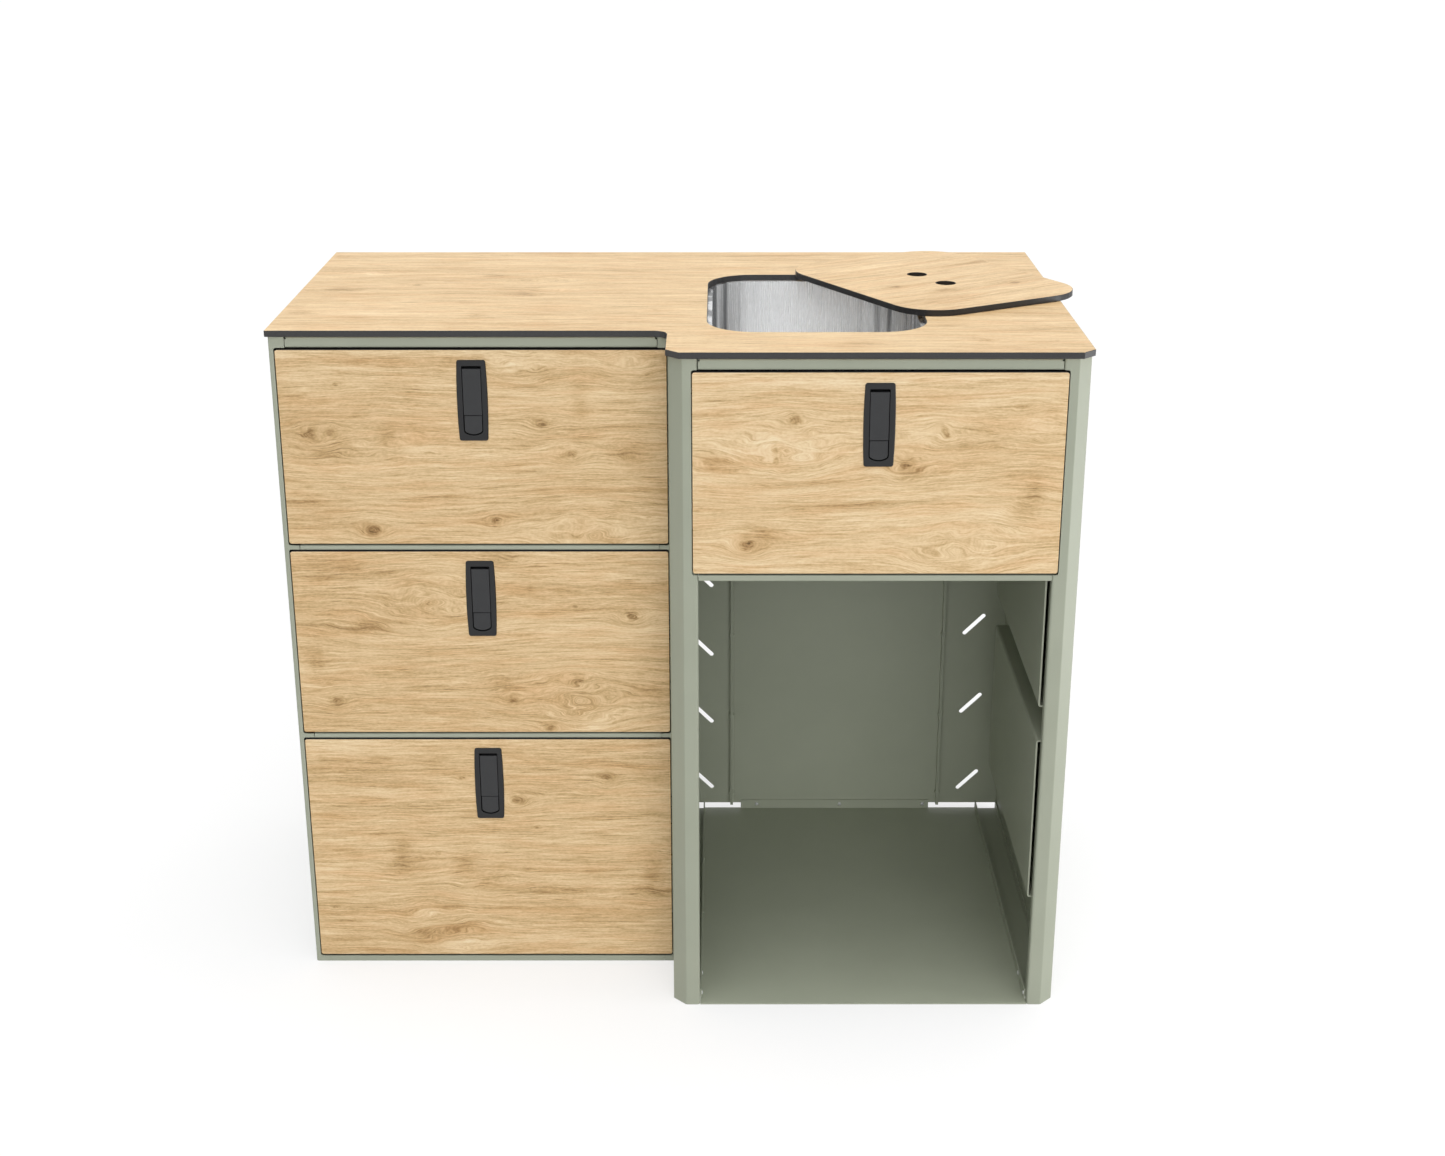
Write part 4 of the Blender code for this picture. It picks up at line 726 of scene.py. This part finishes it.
def lip_rivets():
    """The rivets through the two pairs of lips at the bay's back, with a head on either side."""
    low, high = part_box("bay_back_panel")
    back = high.y - LIP_DEPTH / 2
    pair = PANEL_SHEET + LIP_SEAM
    heads = []
    for step in range(RIVETS):
        rise = RIVET_FIRST_RISE + RIVET_SPACING * step
        heads += [((low.x - pair, back, rise), LEFTWARD), ((low.x + PANEL_SHEET, back, rise), RIGHTWARD)]
        heads += [((high.x - PANEL_SHEET, back, rise), LEFTWARD), ((high.x + pair, back, rise), RIGHTWARD)]
    add_heads("lip_rivets", heads, RIVET_RADIUS, RIVET_HEIGHT, "sage_powder_coat")


def seam_outline(middle, rear):
    """The filler's outline seen from above: a strip with a round front."""
    half = LIP_SEAM / 2
    points = [(middle + half, rear), (middle - half, rear)]
    for step in range(SEAM_STEPS + 1):
        angle = math.pi * (1.0 - step / SEAM_STEPS)
        back = rear - LIP_DEPTH + half * (1.0 - math.sin(angle))
        points.append((middle + half * math.cos(angle), back))
    return points


def lip_seam_filler():
    """A filler for the small gap that the solids keep between lips which touch on the real pod."""
    low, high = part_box("bay_back_panel")
    mesh = bmesh.new()
    for middle in (low.x - LIP_SEAM / 2, high.x + LIP_SEAM / 2):
        points = seam_outline(middle, high.y)
        lower = [mesh.verts.new((x, y, low.z + SEAM_END)) for x, y in points]
        upper = [mesh.verts.new((x, y, high.z - SEAM_END)) for x, y in points]
        for step in range(len(points)):
            after = (step + 1) % len(points)
            mesh.faces.new((lower[step], lower[after], upper[after], upper[step]))
        mesh.faces.new(list(reversed(lower)))
        mesh.faces.new(upper)
    add_piece("lip_seam_filler", mesh, "sage_powder_coat")


tray_bolts()
lip_rivets()
lip_seam_filler()


# Studio and camera

WHITE = (1.0, 1.0, 1.0, 1.0)
SKY_EVEN = 0.02
# Each soft light in the sky has the way it lies, its tightness and its strength
SKY_LOBES = (
    ((0.0, 0.0, 1.0), 8.0, 4.2),
    ((0.085, -0.974, 0.208), 8.0, 3.5),
)
FLOOR_HALF = 40.0
FLOOR_DROP = 0.0002
FLOOR_GLOW = 0.59
FLOOR_DARK = linear(164, 164, 164)
FLOOR_PALE = linear(168, 168, 168)
SIDE_LAMP_PLACE = (1.73, -0.41, 0.45)
SIDE_LAMP_WATTS = 8.5
SIDE_LAMP_WIDTH = 0.6
SIDE_LAMP_HEIGHT = 1.0
SIDE_LAMP_TURN = (math.radians(90.0), 0.0, math.radians(85.0))
CAMERA_PLACE = (0.04887, -2.64715, 1.47524)
CAMERA_TURN = (math.radians(90.0 - 20.228), 0.0, math.radians(-0.036))
LENS_MM = 50.03
SENSOR_WIDTH_MM = 36.0
SEEN_AS_FAR_AS = 200.0


def white_to_view(graph):
    """A share of 1 for rays from the camera, and for those that gloss and glass send."""
    path = graph.add("ShaderNodeLightPath").outputs
    seen = graph.math("MAXIMUM", path["Is Camera Ray"], path["Is Glossy Ray"])
    return graph.math("MAXIMUM", seen, path["Is Transmission Ray"])


def make_world():
    """A dim even sky with two soft lights in it, plain white to the camera and in reflections."""
    world = bpy.data.worlds.new("studio")
    world.use_nodes = True
    graph = Graph(world.node_tree)
    seen = white_to_view(graph)
    way = graph.add("ShaderNodeTexCoord").outputs["Generated"]
    light = SKY_EVEN
    for axis, tightness, share in SKY_LOBES:
        lean = graph.vector("DOT_PRODUCT", way, Vector(axis).normalized())
        lobe = graph.math("EXPONENT", graph.math("MULTIPLY", graph.math("SUBTRACT", lean, 1.0), tightness))
        light = graph.math("MULTIPLY_ADD", lobe, share, light)
    strength = graph.add("ShaderNodeMix", data_type="FLOAT")
    graph.fill(strength.inputs[0], seen)
    graph.fill(strength.inputs[2], light)
    strength.inputs[3].default_value = 1.0
    background = world.node_tree.nodes["Background"]
    background.inputs["Color"].default_value = WHITE
    graph.fill(background.inputs["Strength"], strength.outputs[0])
    bpy.context.scene.world = world


def make_floor():
    """A wide pale floor that keeps the pod's shadow."""
    mesh = bmesh.new()
    corners = ((-1, -1), (1, -1), (1, 1), (-1, 1))
    mesh.faces.new([mesh.verts.new((FLOOR_HALF * x, FLOOR_HALF * y, -FLOOR_DROP)) for x, y in corners])
    data = bpy.data.meshes.new("studio_floor")
    mesh.to_mesh(data)
    mesh.free()
    material, graph, shader, place = new_material("studio_floor")
    dust = graph.named_noise("floor_dust", place)
    graph.fill(shader.inputs["Base Color"], two_tones(graph, dust, FLOOR_DARK, FLOOR_PALE, MIDDLE_RANGE))
    shader.inputs["Roughness"].default_value = 1.0
    shader.inputs["Specular IOR Level"].default_value = 0.0
    shader.inputs["Emission Color"].default_value = WHITE
    glow = graph.math("MULTIPLY", white_to_view(graph), FLOOR_GLOW)
    graph.fill(shader.inputs["Emission Strength"], glow)
    data.materials.append(material)
    floor = bpy.data.objects.new("studio_floor", data)
    bpy.context.scene.collection.objects.link(floor)


def make_side_lamp():
    """A soft box close to the pod's right side, which fades across the fronts."""
    lamp = bpy.data.lights.new("side_lamp", "AREA")
    lamp.shape = "RECTANGLE"
    lamp.size = SIDE_LAMP_WIDTH
    lamp.size_y = SIDE_LAMP_HEIGHT
    lamp.energy = SIDE_LAMP_WATTS
    holder = bpy.data.objects.new("side_lamp", lamp)
    holder.location = SIDE_LAMP_PLACE
    holder.rotation_euler = SIDE_LAMP_TURN
    bpy.context.scene.collection.objects.link(holder)


def make_camera():
    """The photograph's view: a 50 mm lens about 1.5 m above the floor, looking some 20 degrees down."""
    data = bpy.data.cameras.new("camera")
    data.lens = LENS_MM
    data.sensor_width = SENSOR_WIDTH_MM
    data.clip_end = SEEN_AS_FAR_AS
    camera = bpy.data.objects.new("camera", data)
    camera.location = CAMERA_PLACE
    camera.rotation_euler = CAMERA_TURN
    bpy.context.scene.collection.objects.link(camera)
    bpy.context.scene.camera = camera


make_world()
make_floor()
make_side_lamp()
make_camera()
bpy.context.scene.view_settings.view_transform = "Standard"
